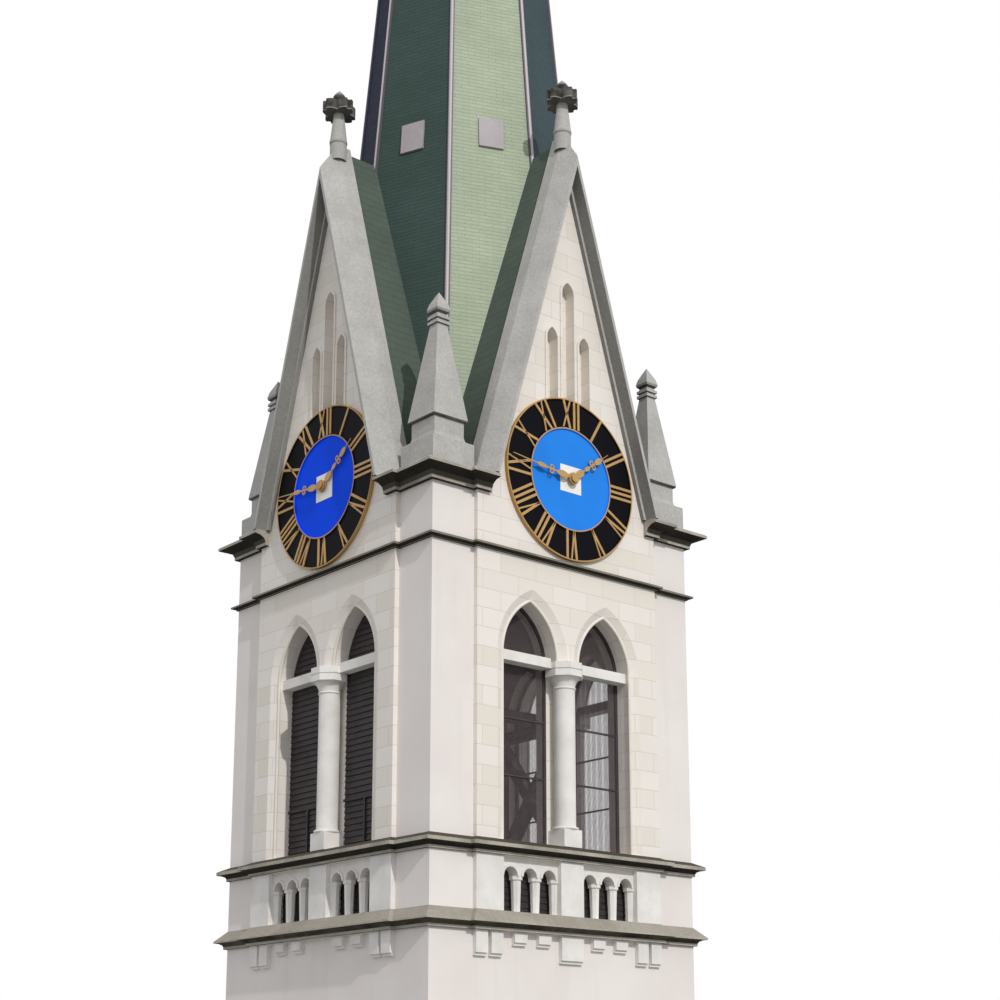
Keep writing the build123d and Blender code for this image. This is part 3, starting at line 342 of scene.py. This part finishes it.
def hip_sheet(sizes, colours):
    """Painted sheet folded over the hips: a pale roll on the ridge, with painted shade on the flat edges."""
    soft, half_face = 6 * MM, radians(22.5)
    material, tree, surface = new_material("hip_sheet", roughness=0.5, specular=0.35)
    place = add_node(tree, "ShaderNodeTexCoord")
    parts = add_node(tree, "ShaderNodeSeparateXYZ", {"Vector": place.outputs["Object"]})
    heading = add_node(tree, "ShaderNodeMath", {0: parts.outputs["Y"], 1: parts.outputs["X"]},
                       operation="ARCTAN2")
    off_ridge = add_node(tree, "ShaderNodeMath", {0: heading.outputs["Value"], 1: half_face},
                         operation="PINGPONG")
    lateral = add_node(tree, "ShaderNodeMath", {0: off_ridge.outputs["Value"]}, operation="SINE")
    arm = add_node(tree, "ShaderNodeCombineXYZ", {"X": parts.outputs["X"], "Y": parts.outputs["Y"]})
    reach = add_node(tree, "ShaderNodeVectorMath", {0: arm.outputs["Vector"]}, operation="LENGTH")
    away = add_node(tree, "ShaderNodeMath", {0: reach.outputs["Value"], 1: lateral.outputs["Value"]},
                    operation="MULTIPLY")
    # Painted shade on the flat edges of the strip, either side of the pale roll
    flat = add_node(tree, "ShaderNodeMapRange", {"Value": away.outputs["Value"],
                                                 "From Min": sizes.hip_roll / 2,
                                                 "From Max": sizes.hip_roll / 2 + soft})
    shade = add_node(tree, "ShaderNodeMix", {SHARE: flat.outputs["Result"], FIRST: colours.hip_pale,
                                             SECOND: colours.hip_painted_shade}, data_type="RGBA")
    plug(tree, surface, {"Base Color": shade.outputs[MIXED]})
    return material


def green_slate(name, course, dark_side, sizes, colours):
    """Green slate in thin courses, with a painted highlight to the sun and painted blue shade on the far
    sides.
    """
    cloud, lap = 700 * MM, 5 * MM
    course_light, course_dark, gap = (1.03, 1.03, 1.02, 1), (0.95, 0.95, 0.95, 1), (0.84, 0.84, 0.84, 1)
    sun_side, green_side = (0.914, -0.379, 0.15), (0.707, -0.707, 0.0)
    painted_shade_side = (-0.379, -0.914, 0.15)
    material, tree, surface = new_material(name, roughness=0.65, specular=0.03)
    place = add_node(tree, "ShaderNodeTexCoord")
    flat = face_coordinates(tree, place)
    slates = add_node(tree, "ShaderNodeTexBrick",
                      {"Vector": flat, "Color1": course_dark, "Color2": course_light, "Mortar": gap,
                       "Scale": 1.0, "Mortar Size": lap / 2, "Mortar Smooth": 0.3, "Bias": 0.0,
                       "Brick Width": sizes.slate_width, "Row Height": course}, offset=0.5)
    # Painted highlight: pale slate on the face turned to the sun
    facing = add_node(tree, "ShaderNodeVectorMath", {0: place.outputs["Normal"], 1: sun_side},
                      operation="DOT_PRODUCT")
    painted_highlight = add_node(tree, "ShaderNodeMapRange", {"Value": facing.outputs["Value"], "From Min": 0.93,
                                                   "From Max": 0.985})
    turned = add_node(tree, "ShaderNodeVectorMath", {0: place.outputs["Normal"], 1: green_side},
                      operation="DOT_PRODUCT")
    green_share = add_node(tree, "ShaderNodeMapRange", {"Value": turned.outputs["Value"], "From Min": 0.42,
                                                  "From Max": 0.75})
    # Painted shade: dark blue slate on the face on the front's left, turned from the sun
    painted_shade_facing = add_node(tree, "ShaderNodeVectorMath", {0: place.outputs["Normal"], 1: painted_shade_side},
                      operation="DOT_PRODUCT")
    shaded = add_node(tree, "ShaderNodeMapRange", {"Value": painted_shade_facing.outputs["Value"], "From Min": 0.93,
                                                   "From Max": 0.985})
    # Painted shade and sky reflection: blue-grey slate on the other faces that are not turned to the front's
    # right
    far = add_node(tree, "ShaderNodeMix", {SHARE: shaded.outputs["Result"], FIRST: colours.slate_shade_and_sky,
                                           SECOND: colours.slate_painted_shade}, data_type="RGBA")
    dark = add_node(tree, "ShaderNodeMix", {SHARE: green_share.outputs["Result"], FIRST: far.outputs[MIXED],
                                            SECOND: dark_side}, data_type="RGBA")
    base = add_node(tree, "ShaderNodeMix", {SHARE: painted_highlight.outputs["Result"], FIRST: dark.outputs[MIXED],
                                            SECOND: colours.slate_painted_highlight}, data_type="RGBA")
    tint = add_node(tree, "ShaderNodeMix", {SHARE: 1.0, FIRST: base.outputs[MIXED],
                                            SECOND: patches(tree, place, cloud, low=0.92, high=1.06)},
                    data_type="RGBA", blend_type="MULTIPLY")
    shade = add_node(tree, "ShaderNodeMix", {SHARE: 1.0, FIRST: tint.outputs[MIXED],
                                             SECOND: slates.outputs["Color"]},
                     data_type="RGBA", blend_type="MULTIPLY")
    level = add_node(tree, "ShaderNodeSeparateXYZ", {"Vector": flat})
    within = add_node(tree, "ShaderNodeMath", {0: level.outputs["Y"], 1: course}, operation="MODULO")
    tail = add_node(tree, "ShaderNodeMapRange", {"Value": within.outputs["Value"], "From Max": course,
                                                 "To Min": 1.0, "To Max": 0.0})
    height = add_node(tree, "ShaderNodeMath", {0: tail.outputs["Result"], 1: slates.outputs["Fac"]},
                      operation="SUBTRACT")
    rough = add_node(tree, "ShaderNodeBump", {"Height": height.outputs["Value"], "Strength": 0.55,
                                              "Distance": lap})
    plug(tree, surface, {"Base Color": shade.outputs[MIXED], "Normal": rough.outputs["Normal"]})
    return material


def gilding(colours):
    """Old gilding over copper: warm, satin and a little uneven."""
    worn_patch = 60 * MM
    material, tree, surface = new_material("old_gilding", roughness=0.45)
    place = add_node(tree, "ShaderNodeTexCoord")
    shade = add_node(tree, "ShaderNodeMix",
                     {SHARE: patches(tree, place, worn_patch, high=0.5, detail=5), FIRST: colours.gilt,
                      SECOND: colours.gilt_worn}, data_type="RGBA")
    plug(tree, surface, {"Metallic": 0.2, "Base Color": shade.outputs[MIXED]})
    return material


def dial_enamel(name, across, blue, sizes, colours):
    """Enamelled dial: blue centre, black figure ring and gilded rims, parted by their radius."""
    dust_patch = 300 * MM
    material, tree, surface = new_material(name, roughness=0.5, specular=0.05)
    low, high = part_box("front_dial")
    level, radius = (low[2] + high[2]) / 2, (high[2] - low[2]) / 2
    stops = ((0.0, colours.gilt), (sizes.arbor_head, blue), (sizes.dial_centre, colours.gilt),
             (sizes.dial_centre + sizes.gilt_line, colours.black), (radius - sizes.gilt_line, colours.gilt))
    place = add_node(tree, "ShaderNodeTexCoord")
    parts = add_node(tree, "ShaderNodeSeparateXYZ", {"Vector": place.outputs["Object"]})
    rise = add_node(tree, "ShaderNodeMath", {0: parts.outputs["Z"], 1: level}, operation="SUBTRACT")
    arm = add_node(tree, "ShaderNodeCombineXYZ", {"X": parts.outputs[across], "Y": rise.outputs["Value"]})
    reach = add_node(tree, "ShaderNodeVectorMath", {0: arm.outputs["Vector"]}, operation="LENGTH")
    share = add_node(tree, "ShaderNodeMath", {0: reach.outputs["Value"], 1: radius}, operation="DIVIDE")
    rings = add_node(tree, "ShaderNodeValToRGB", {"Fac": share.outputs["Value"]})
    rings.color_ramp.interpolation = "CONSTANT"
    ramp = rings.color_ramp.elements
    while len(ramp) < len(stops):
        ramp.new(1.0)
    for element, (start, shade) in zip(ramp, stops):
        element.position = start / radius
        element.color = shade
    dusty = add_node(tree, "ShaderNodeMix",
                     {SHARE: 1.0, FIRST: rings.outputs["Color"],
                      SECOND: patches(tree, place, dust_patch, low=0.94, high=1.04, detail=5)},
                     data_type="RGBA", blend_type="MULTIPLY")
    plug(tree, surface, {"Base Color": dusty.outputs[MIXED]})
    return material


def uneven_finish(name, shade, other, roughness, patch, relief=2 * MM):
    """Finish that wears to another colour: smooth stone, enamel, stained wood, wire, sheet or concrete."""
    # The fine relief is coarser than a real one, so that it shows in the render
    fine_share = 0.12
    material, tree, surface = new_material(name, roughness, specular=0.35)
    place = add_node(tree, "ShaderNodeTexCoord")
    worn = add_node(tree, "ShaderNodeMix", {SHARE: patches(tree, place, patch, detail=5), FIRST: shade,
                                            SECOND: other}, data_type="RGBA")
    rough = add_node(tree, "ShaderNodeBump", {"Height": patches(tree, place, fine_share * patch),
                                              "Strength": 0.15, "Distance": relief})
    plug(tree, surface, {"Base Color": worn.outputs[MIXED], "Normal": rough.outputs["Normal"]})
    return material


def weathered_oak(colours):
    """Old sawn oak: uneven grain under grey weathering."""
    # The grain is coarser than a real one, so that it shows through the mesh
    grain_size, relief = 110 * MM, 4 * MM
    material, tree, surface = new_material("weathered_oak", roughness=0.75)
    place = add_node(tree, "ShaderNodeTexCoord")
    grain = add_node(tree, "ShaderNodeTexNoise", {"Vector": place.outputs["Object"], "Scale": 1 / grain_size,
                                                  "Detail": 8, "Distortion": 1.5})
    shade = add_node(tree, "ShaderNodeMix", {SHARE: grain.outputs["Fac"], FIRST: colours.oak,
                                             SECOND: colours.oak_dark}, data_type="RGBA")
    rough = add_node(tree, "ShaderNodeBump", {"Height": grain.outputs["Fac"], "Strength": 0.3,
                                              "Distance": relief})
    plug(tree, surface, {"Base Color": shade.outputs[MIXED], "Normal": rough.outputs["Normal"]})
    return material


def studio_floor():
    """Studio floor that looks pale but throws little light up, as the ground far below a belfry does."""
    material, tree, surface = new_material("studio_floor", roughness=0.95, specular=0.1)
    path = add_node(tree, "ShaderNodeLightPath")
    shade = add_node(tree, "ShaderNodeMix",
                     {SHARE: path.outputs["Is Camera Ray"], FIRST: linear(FLOOR_BOUNCE),
                      SECOND: linear(FLOOR_SEEN)}, data_type="RGBA")
    plug(tree, surface, {"Base Color": shade.outputs[MIXED]})
    return material


def paint(material, *nodes):
    """Gives CAD nodes a finish."""
    for node in nodes:
        mesh = frame["nodes"][node].data
        mesh.materials.clear()
        mesh.materials.append(material)


def named(ending):
    """CAD nodes whose names have this ending."""
    return [node for node in frame["nodes"] if node.endswith(ending)]


def finish(piece, material):
    """Gives a new piece its finish and slot, and lets it ride on the tower."""
    piece.data.materials.clear()
    piece.data.materials.append(material)
    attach(piece, "tower")


def bars(name, places, edge):
    """One mesh of bars, each given by its centre, turn and size, with their edges taken off."""
    bpy.ops.object.select_all(action="DESELECT")
    for number, (centre, turn, size) in enumerate(places):
        bpy.ops.mesh.primitive_cube_add(size=1, location=centre, rotation=turn, scale=size)
        if number == 0:
            bpy.ops.object.transform_apply(location=True, rotation=True, scale=True)
            bpy.ops.object.mode_set(mode="EDIT")
    bpy.ops.mesh.select_all(action="SELECT")
    bpy.ops.mesh.bevel(offset=edge, segments=1, affect="EDGES")
    bpy.ops.object.mode_set(mode="OBJECT")
    piece = bpy.context.active_object
    piece.name = name
    return piece


def turn_mesh(piece, side):
    """Turns a front piece's mesh round the tower to another side."""
    piece.data.transform(Matrix.Rotation(radians(SIDE_TURNS[side]), 4, "Z"))


def turned_copy(piece, name, side):
    """Copy of a front piece on another side, with its own mesh."""
    copy = piece.copy()
    copy.data = piece.data.copy()
    copy.name = f"{side}_{name}"
    bpy.context.collection.objects.link(copy)
    turn_mesh(copy, side)
    return copy


def on_each_side(piece, name, material):
    """Finishes a front piece and its copies on the other three sides."""
    for side in SIDE_TURNS:
        finish(turned_copy(piece, name, side), material)
    finish(piece, material)


class TOWER_OT_masonry(Operator):
    """Finish the plaster, the dressed stone and the mouldings"""
    bl_idname = "tower.masonry"
    bl_label = "Masonry"

    def execute(self, context):
        sizes, colours = context.scene.tower_sizes, context.scene.tower_colours
        face, fillet = colours.moulding_face, colours.fillet
        stain, soot_and_shade = colours.moulding_stain, colours.moulding_soot_and_shade
        grey = (colours.coping, colours.coping, colours.coping_soot_and_shade, colours.coping_stain)
        cap_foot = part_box("gable_finials")[1][2] - sizes.finial_cap
        paint(lime_plaster(colours), "corner_piers", *named("shaft_wall"))
        paint(dressed_limestone(sizes, colours), *named("belfry_wall"), *named("gable_wall"))
        paint(uneven_finish("smooth_limestone", colours.smooth_stone, colours.smooth_stain,
                            roughness=0.8, patch=240 * MM),
              "columns", "transoms", "corbels", *named("parapet"))
        paint(weathered_stone("washed_sandstone", colours.cornice_top, fillet, soot_and_shade, colours.cornice_stain),
              "lower_cornice", "plinth")
        paint(weathered_stone("sooty_sandstone", colours.sill_top, fillet, soot_and_shade, stain), "sill_cornice")
        paint(weathered_stone("string_sandstone", colours.sill_top, face, soot_and_shade, stain), "string_course")
        paint(weathered_stone("dark_sandstone", colours.coping, fillet, soot_and_shade, stain), "corner_cornices")
        paint(weathered_stone("grey_sandstone", *grey), "gable_copings", "pinnacles")
        paint(sooty_caps(weathered_stone("capped_sandstone", *grey), cap_foot, soot_and_shade), "gable_finials")
        paint(uneven_finish("cast_concrete", colours.concrete, colours.concrete_dark,
                            roughness=0.9, patch=300 * MM),
              "ground_floor", "belfry_floor", "ring_beam")
        return {"FINISHED"}


class TOWER_OT_spire(Operator):
    """Finish the slates, hips, hatches and the spire's top"""
    bl_idname = "tower.spire"
    bl_label = "Spire"

    def execute(self, context):
        sizes, colours = context.scene.tower_sizes, context.scene.tower_colours
        paint(green_slate("spire_slate", sizes.slate_course, colours.slate_dark, sizes, colours), "spire")
        paint(green_slate("gable_slate", sizes.gable_course, colours.slate_gable, sizes, colours),
              "gable_roofs")
        paint(hip_sheet(sizes, colours), "spire_hips")
        paint(uneven_finish("painted_sheet", colours.sheet, colours.sheet_streak,
                            roughness=0.5, patch=250 * MM),
              "spire_hatches", "spire_finial")
        return {"FINISHED"}


def numeral_strokes(text, sizes):
    """Bars of a Roman numeral as (x at the foot, x at the head, width), centred."""
    thick, thin = sizes.numeral_stroke, sizes.numeral_hairline
    widths = {letter: count * thick for letter, count in LETTER_WIDTHS.items()}
    left = -sum(widths[letter] for letter in text) / 2
    strokes = []
    for letter in text:
        right = left + widths[letter]
        middle, near, far = (left + right) / 2, left + thick, right - thick
        if letter == "I":
            strokes.append((middle, middle, thick))
        elif letter == "V":
            strokes += [(middle, near, thick), (middle, far, thin)]
        else:
            strokes += [(far, near, thick), (near, far, thin)]
        left = right
    return strokes


class TOWER_OT_dials(Operator):
    """Enamel the dials, gild the hands and set the numerals and centre plates"""
    bl_idname = "tower.dials"
    bl_label = "Clock dials"

    def execute(self, context):
        sizes, colours = context.scene.tower_sizes, context.scene.tower_colours
        gilt = gilding(colours)
        # Painted light and shade: the front and back dials take a deeper blue, the right and left dials a
        # paler one
        paint(dial_enamel("shaded_dial_enamel", "X", colours.blue_shaded, sizes, colours),
              "front_dial", "back_dial")
        paint(dial_enamel("sunlit_dial_enamel", "Y", colours.blue_sunlit, sizes, colours),
              "right_dial", "left_dial")
        paint(gilt, *named("_hand"))
        low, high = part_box("front_dial")
        level, radius, wall = (low[2] + high[2]) / 2, (high[2] - low[2]) / 2, high[1]
        numerals = bars("front_numerals", self.numerals(sizes, level, radius, wall), edge=1.5 * MM)
        on_each_side(numerals, "numerals", gilt)
        plate_size = (sizes.centre_plate, sizes.plate_thickness, sizes.centre_plate)
        plate_place = ((0, wall - sizes.dial_centre_proud, level), (0, 0, 0), plate_size)
        white = uneven_finish("white_enamel", colours.white, colours.white_worn,
                              roughness=0.4, patch=120 * MM)
        plate = bars("front_centre_plate", [plate_place], edge=2 * MM)
        on_each_side(plate, "centre_plate", white)
        return {"FINISHED"}

    def numerals(self, sizes, level, radius, wall):
        """Bars of the twelve numerals, set round the front dial with their feet inwards."""
        foot, head = sizes.dial_centre + sizes.gilt_line, radius - sizes.gilt_line
        places = []
        for hour, text in enumerate(HOURS, 1):
            angle = radians(360 * hour / len(HOURS))
            for start, end, width in numeral_strokes(text, sizes):
                x, y = (start + end) / 2, (foot + head) / 2
                centre = (x * cos(angle) + y * sin(angle), wall - sizes.dial_ring_proud,
                          level - x * sin(angle) + y * cos(angle))
                slant = angle + atan2(end - start, head - foot)
                places.append((centre, (0, slant, 0),
                               (width, 2 * sizes.numeral_depth, hypot(end - start, head - foot))))
        return places


class PointedOpening:
    """Shape of the two belfry openings of the front, read from the boards behind them and the capitals."""

    def __init__(self, width):
        low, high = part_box("front_louvres")
        self.bottom, self.face = low[2], low[1]
        self.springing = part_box("columns")[1][2]
        self.half = width / 2
        self.centre = high[0] - self.half
        rise = high[2] - self.springing
        self.offset = (rise ** 2 - self.half ** 2) / (2 * self.half)
        self.radius = self.half + self.offset

    def half_at(self, height):
        """Half width at a height."""
        above = max(0.0, height - self.springing)
        return sqrt(max(0.0, self.radius ** 2 - above ** 2)) - self.offset

    def top_at(self, x):
        """Height of the arch at a distance from the opening's middle."""
        return self.springing + sqrt(max(0.0, self.radius ** 2 - (abs(x) + self.offset) ** 2))


class TOWER_OT_openings(Operator):
    """Board the front and left openings, stretch mesh over the right and back ones and add their rolls"""
    bl_idname = "tower.openings"
    bl_label = "Belfry openings"

    def execute(self, context):
        sizes, colours = context.scene.tower_sizes, context.scene.tower_colours
        opening = PointedOpening(sizes.opening_width)
        stained = uneven_finish("stained_boards", colours.board, colours.board_worn,
                                roughness=0.6, patch=150 * MM)
        mesh = uneven_finish("brown_wire", colours.wire, colours.wire_worn, roughness=0.5, patch=80 * MM)
        frames = uneven_finish("frame_paint", colours.frame, colours.frame_worn,
                               roughness=0.5, patch=80 * MM)
        stone = uneven_finish("roll_limestone", colours.ashlar_pale, colours.ashlar_warm,
                              roughness=0.82, patch=200 * MM)
        boards = bars("front_boards", self.boards(sizes, opening), edge=1.5 * MM)
        finish(turned_copy(boards, "boards", "left"), stained)
        finish(boards, stained)
        net = bars("back_mesh", self.wires(sizes, opening), edge=0.5 * MM)
        finish(turned_copy(net, "mesh", "right"), mesh)
        turn_mesh(net, "back")
        finish(net, mesh)
        screens = bars("front_arcade_boards", self.arcade_boards(sizes), edge=1.5 * MM)
        on_each_side(screens, "arcade_boards", stained)
        on_each_side(self.rolls(sizes, opening), "window_rolls", stone)
        paint(stained, "front_louvres", "left_louvres")
        paint(frames, "right_mesh_frames", "back_mesh_frames")
        paint(weathered_oak(colours), "bell_frame")
        return {"FINISHED"}

    def boards(self, sizes, opening):
        """Sloping boards up to the arches' points, and the battens of a hatch low down in each opening."""
        tilt, side_gap, lap_share = radians(-12), 8 * MM, 0.98
        pitch, thickness = sizes.board_pitch, sizes.board_thickness
        batten_face = opening.face - 2 * thickness
        places = []
        for flank in (-1, 1):
            middle = flank * opening.centre
            level = opening.bottom + pitch / 2
            while opening.half_at(level + pitch / 2) > 2 * pitch:
                width = 2 * opening.half_at(level + pitch / 2) - side_gap
                places.append(((middle, opening.face - thickness / 2, level), (tilt, 0, 0),
                               (width, thickness, lap_share * pitch)))
                level += pitch
            top = opening.bottom + sizes.hatch_height
            places.append(((middle, batten_face, top), (0, 0, 0),
                           (2 * opening.half - side_gap, thickness, sizes.batten)))
            places.append(((middle, batten_face, opening.bottom + sizes.hatch_height / 2), (0, 0, 0),
                           (sizes.batten, thickness, sizes.hatch_height - sizes.batten)))
        return places

    def wires(self, sizes, opening):
        """Level and upright wires of the mesh in both openings, the upright ones in front."""
        pitch, wire, end_gap, set_back = sizes.wire_pitch, sizes.wire, 4 * MM, 12 * MM
        level_face = opening.face + set_back
        places = []
        for flank in (-1, 1):
            level = opening.bottom + pitch
            while opening.half_at(level) > pitch:
                width = 2 * opening.half_at(level) - end_gap
                places.append(((flank * opening.centre, level_face, level), (0, 0, 0), (width, wire, wire)))
                level += pitch
            steps = int(opening.half / pitch)
            for step in range(-steps, steps + 1):
                height = opening.top_at(step * pitch) - end_gap - opening.bottom
                across = flank * opening.centre + step * pitch
                places.append(((across, level_face - wire, opening.bottom + height / 2), (0, 0, 0),
                               (wire, wire, height)))
        return places

    def arcade_boards(self, sizes):
        """Dark boards that close the parapet's arches from behind."""
        tilt, lap_share = radians(-8), 0.98
        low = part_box("front_parapet")[0]
        back = low[1] + sizes.arcade_depth + sizes.board_thickness
        middle = (sizes.arcade_inner + sizes.arcade_outer) / 2
        width = sizes.arcade_outer - sizes.arcade_inner
        rows = round(sizes.arcade_height / sizes.board_pitch)
        places = []
        for flank in (-1, 1):
            for row in range(rows):
                level = low[2] + sizes.arcade_foot + (row + 0.5) * sizes.board_pitch
                places.append(((flank * middle, back, level), (tilt, 0, 0),
                               (width, sizes.board_thickness, lap_share * sizes.board_pitch)))
        return places

    def rolls(self, sizes, opening):
        """Thin rolls on the openings' edges, spun round the arches and straight down the outer jambs."""
        facets, steps, crease = 10, 14, radians(40)
        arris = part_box("front_belfry_wall")[0][1] + sizes.splay_depth
        turn = acos(opening.offset / opening.radius)
        jamb = opening.springing - opening.bottom
        bpy.ops.object.select_all(action="DESELECT")
        for number, (flank, side) in enumerate(((-1, -1), (-1, 1), (1, -1), (1, 1))):
            middle = flank * opening.centre
            foot = opening.bottom if flank == side else opening.springing
            bpy.ops.mesh.primitive_circle_add(vertices=facets, radius=sizes.roll / 2, fill_type="NGON",
                                              location=(middle + side * opening.half, arris, foot))
            if number == 0:
                bpy.ops.object.transform_apply(location=True, rotation=True, scale=True)
                bpy.ops.object.mode_set(mode="EDIT")
                bpy.ops.mesh.select_all(action="SELECT")
            if flank == side:
                bpy.ops.mesh.extrude_region_move(TRANSFORM_OT_translate={"value": (0, 0, jamb)})
            bpy.ops.mesh.spin(steps=steps, angle=side * turn, axis=(0, 1, 0),
                              center=(middle - side * opening.offset, arris, opening.springing))
        bpy.ops.mesh.select_all(action="SELECT")
        bpy.ops.mesh.normals_make_consistent(inside=False)
        bpy.ops.object.mode_set(mode="OBJECT")
        bpy.ops.object.shade_smooth_by_angle(angle=crease)
        piece = bpy.context.active_object
        piece.name = "front_window_rolls"
        return piece


class TOWER_OT_stage(Operator):
    """Set the floor, the light and the camera"""
    bl_idname = "tower.stage"
    bl_label = "Stage"

    def execute(self, context):
        context.scene.view_settings.view_transform = "Standard"
        bpy.ops.object.select_all(action="DESELECT")
        self.lay_floor(context)
        self.light(context)
        self.place_camera(context)
        return {"FINISHED"}

    def lay_floor(self, context):
        """Wide round floor just under the tower's base."""
        facets, reach, clearance = 96, 400, 2 * MM
        bpy.ops.mesh.primitive_circle_add(vertices=facets, radius=reach, fill_type="NGON",
                                          location=(0, 0, -clearance))
        floor = context.active_object
        floor.name = "floor"
        floor.data.materials.append(studio_floor())

    def light(self, context):
        """Soft sky that looks white to the camera and in reflections, and one sun."""
        world = bpy.data.worlds.new("studio")
        context.scene.world = world
        world.use_nodes = True
        tree = world.node_tree
        tree.nodes.clear()
        path = add_node(tree, "ShaderNodeLightPath")
        seen = add_node(tree, "ShaderNodeMath",
                        {0: path.outputs["Is Camera Ray"], 1: path.outputs["Is Glossy Ray"]},
                        operation="MAXIMUM")
        sky = add_node(tree, "ShaderNodeBackground", {"Color": linear(SKY_COLOUR), "Strength": SKY_STRENGTH})
        white = add_node(tree, "ShaderNodeBackground", {"Color": (1, 1, 1, 1), "Strength": 1.0})
        blend = add_node(tree, "ShaderNodeMixShader",
                         {0: seen.outputs["Value"], 1: sky.outputs["Background"],
                          2: white.outputs["Background"]})
        add_node(tree, "ShaderNodeOutputWorld", {"Surface": blend.outputs["Shader"]})
        bpy.ops.object.light_add(type="SUN", rotation=(radians(90) - SUN_HEIGHT, 0, SUN_HEADING))
        sun = context.active_object
        sun.name = "sun"
        sun.data.energy = SUN_STRENGTH
        sun.data.angle = SUN_WIDTH
        sun.data.color = linear(SUN_COLOUR)[:3]

    def place_camera(self, context):
        """Camera at the reference view."""
        bpy.ops.object.camera_add(location=EYE, rotation=(radians(90) + PITCH, 0, HEADING))
        camera = context.active_object
        camera.data.sensor_width = SENSOR_MM
        camera.data.lens = LENS_MM
        camera.data.shift_y = LENS_RISE
        camera.data.clip_end = FARTHEST
        context.scene.camera = camera


OPERATORS = (TOWER_OT_masonry, TOWER_OT_spire, TOWER_OT_dials, TOWER_OT_openings, TOWER_OT_stage)


class TOWER_PT_panel(Panel):
    """Sidebar panel with the tower's steps"""
    bl_idname = "TOWER_PT_panel"
    bl_label = "Church tower"
    bl_space_type = "VIEW_3D"
    bl_region_type = "UI"
    bl_category = "Tower"

    def draw(self, context):
        for operator in OPERATORS:
            self.layout.operator(operator.bl_idname)


CLASSES = (TowerSizes, TowerColours, *OPERATORS, TOWER_PT_panel)


def register():
    for item in CLASSES:
        bpy.utils.register_class(item)
    bpy.types.Scene.tower_sizes = PointerProperty(type=TowerSizes)
    bpy.types.Scene.tower_colours = PointerProperty(type=TowerColours)


def unregister():
    del bpy.types.Scene.tower_sizes
    del bpy.types.Scene.tower_colours
    for item in reversed(CLASSES):
        bpy.utils.unregister_class(item)


def main():
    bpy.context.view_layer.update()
    register()
    bpy.ops.tower.masonry()
    bpy.ops.tower.spire()
    bpy.ops.tower.dials()
    bpy.ops.tower.openings()
    bpy.ops.tower.stage()


if __name__ == "__main__":
    main()
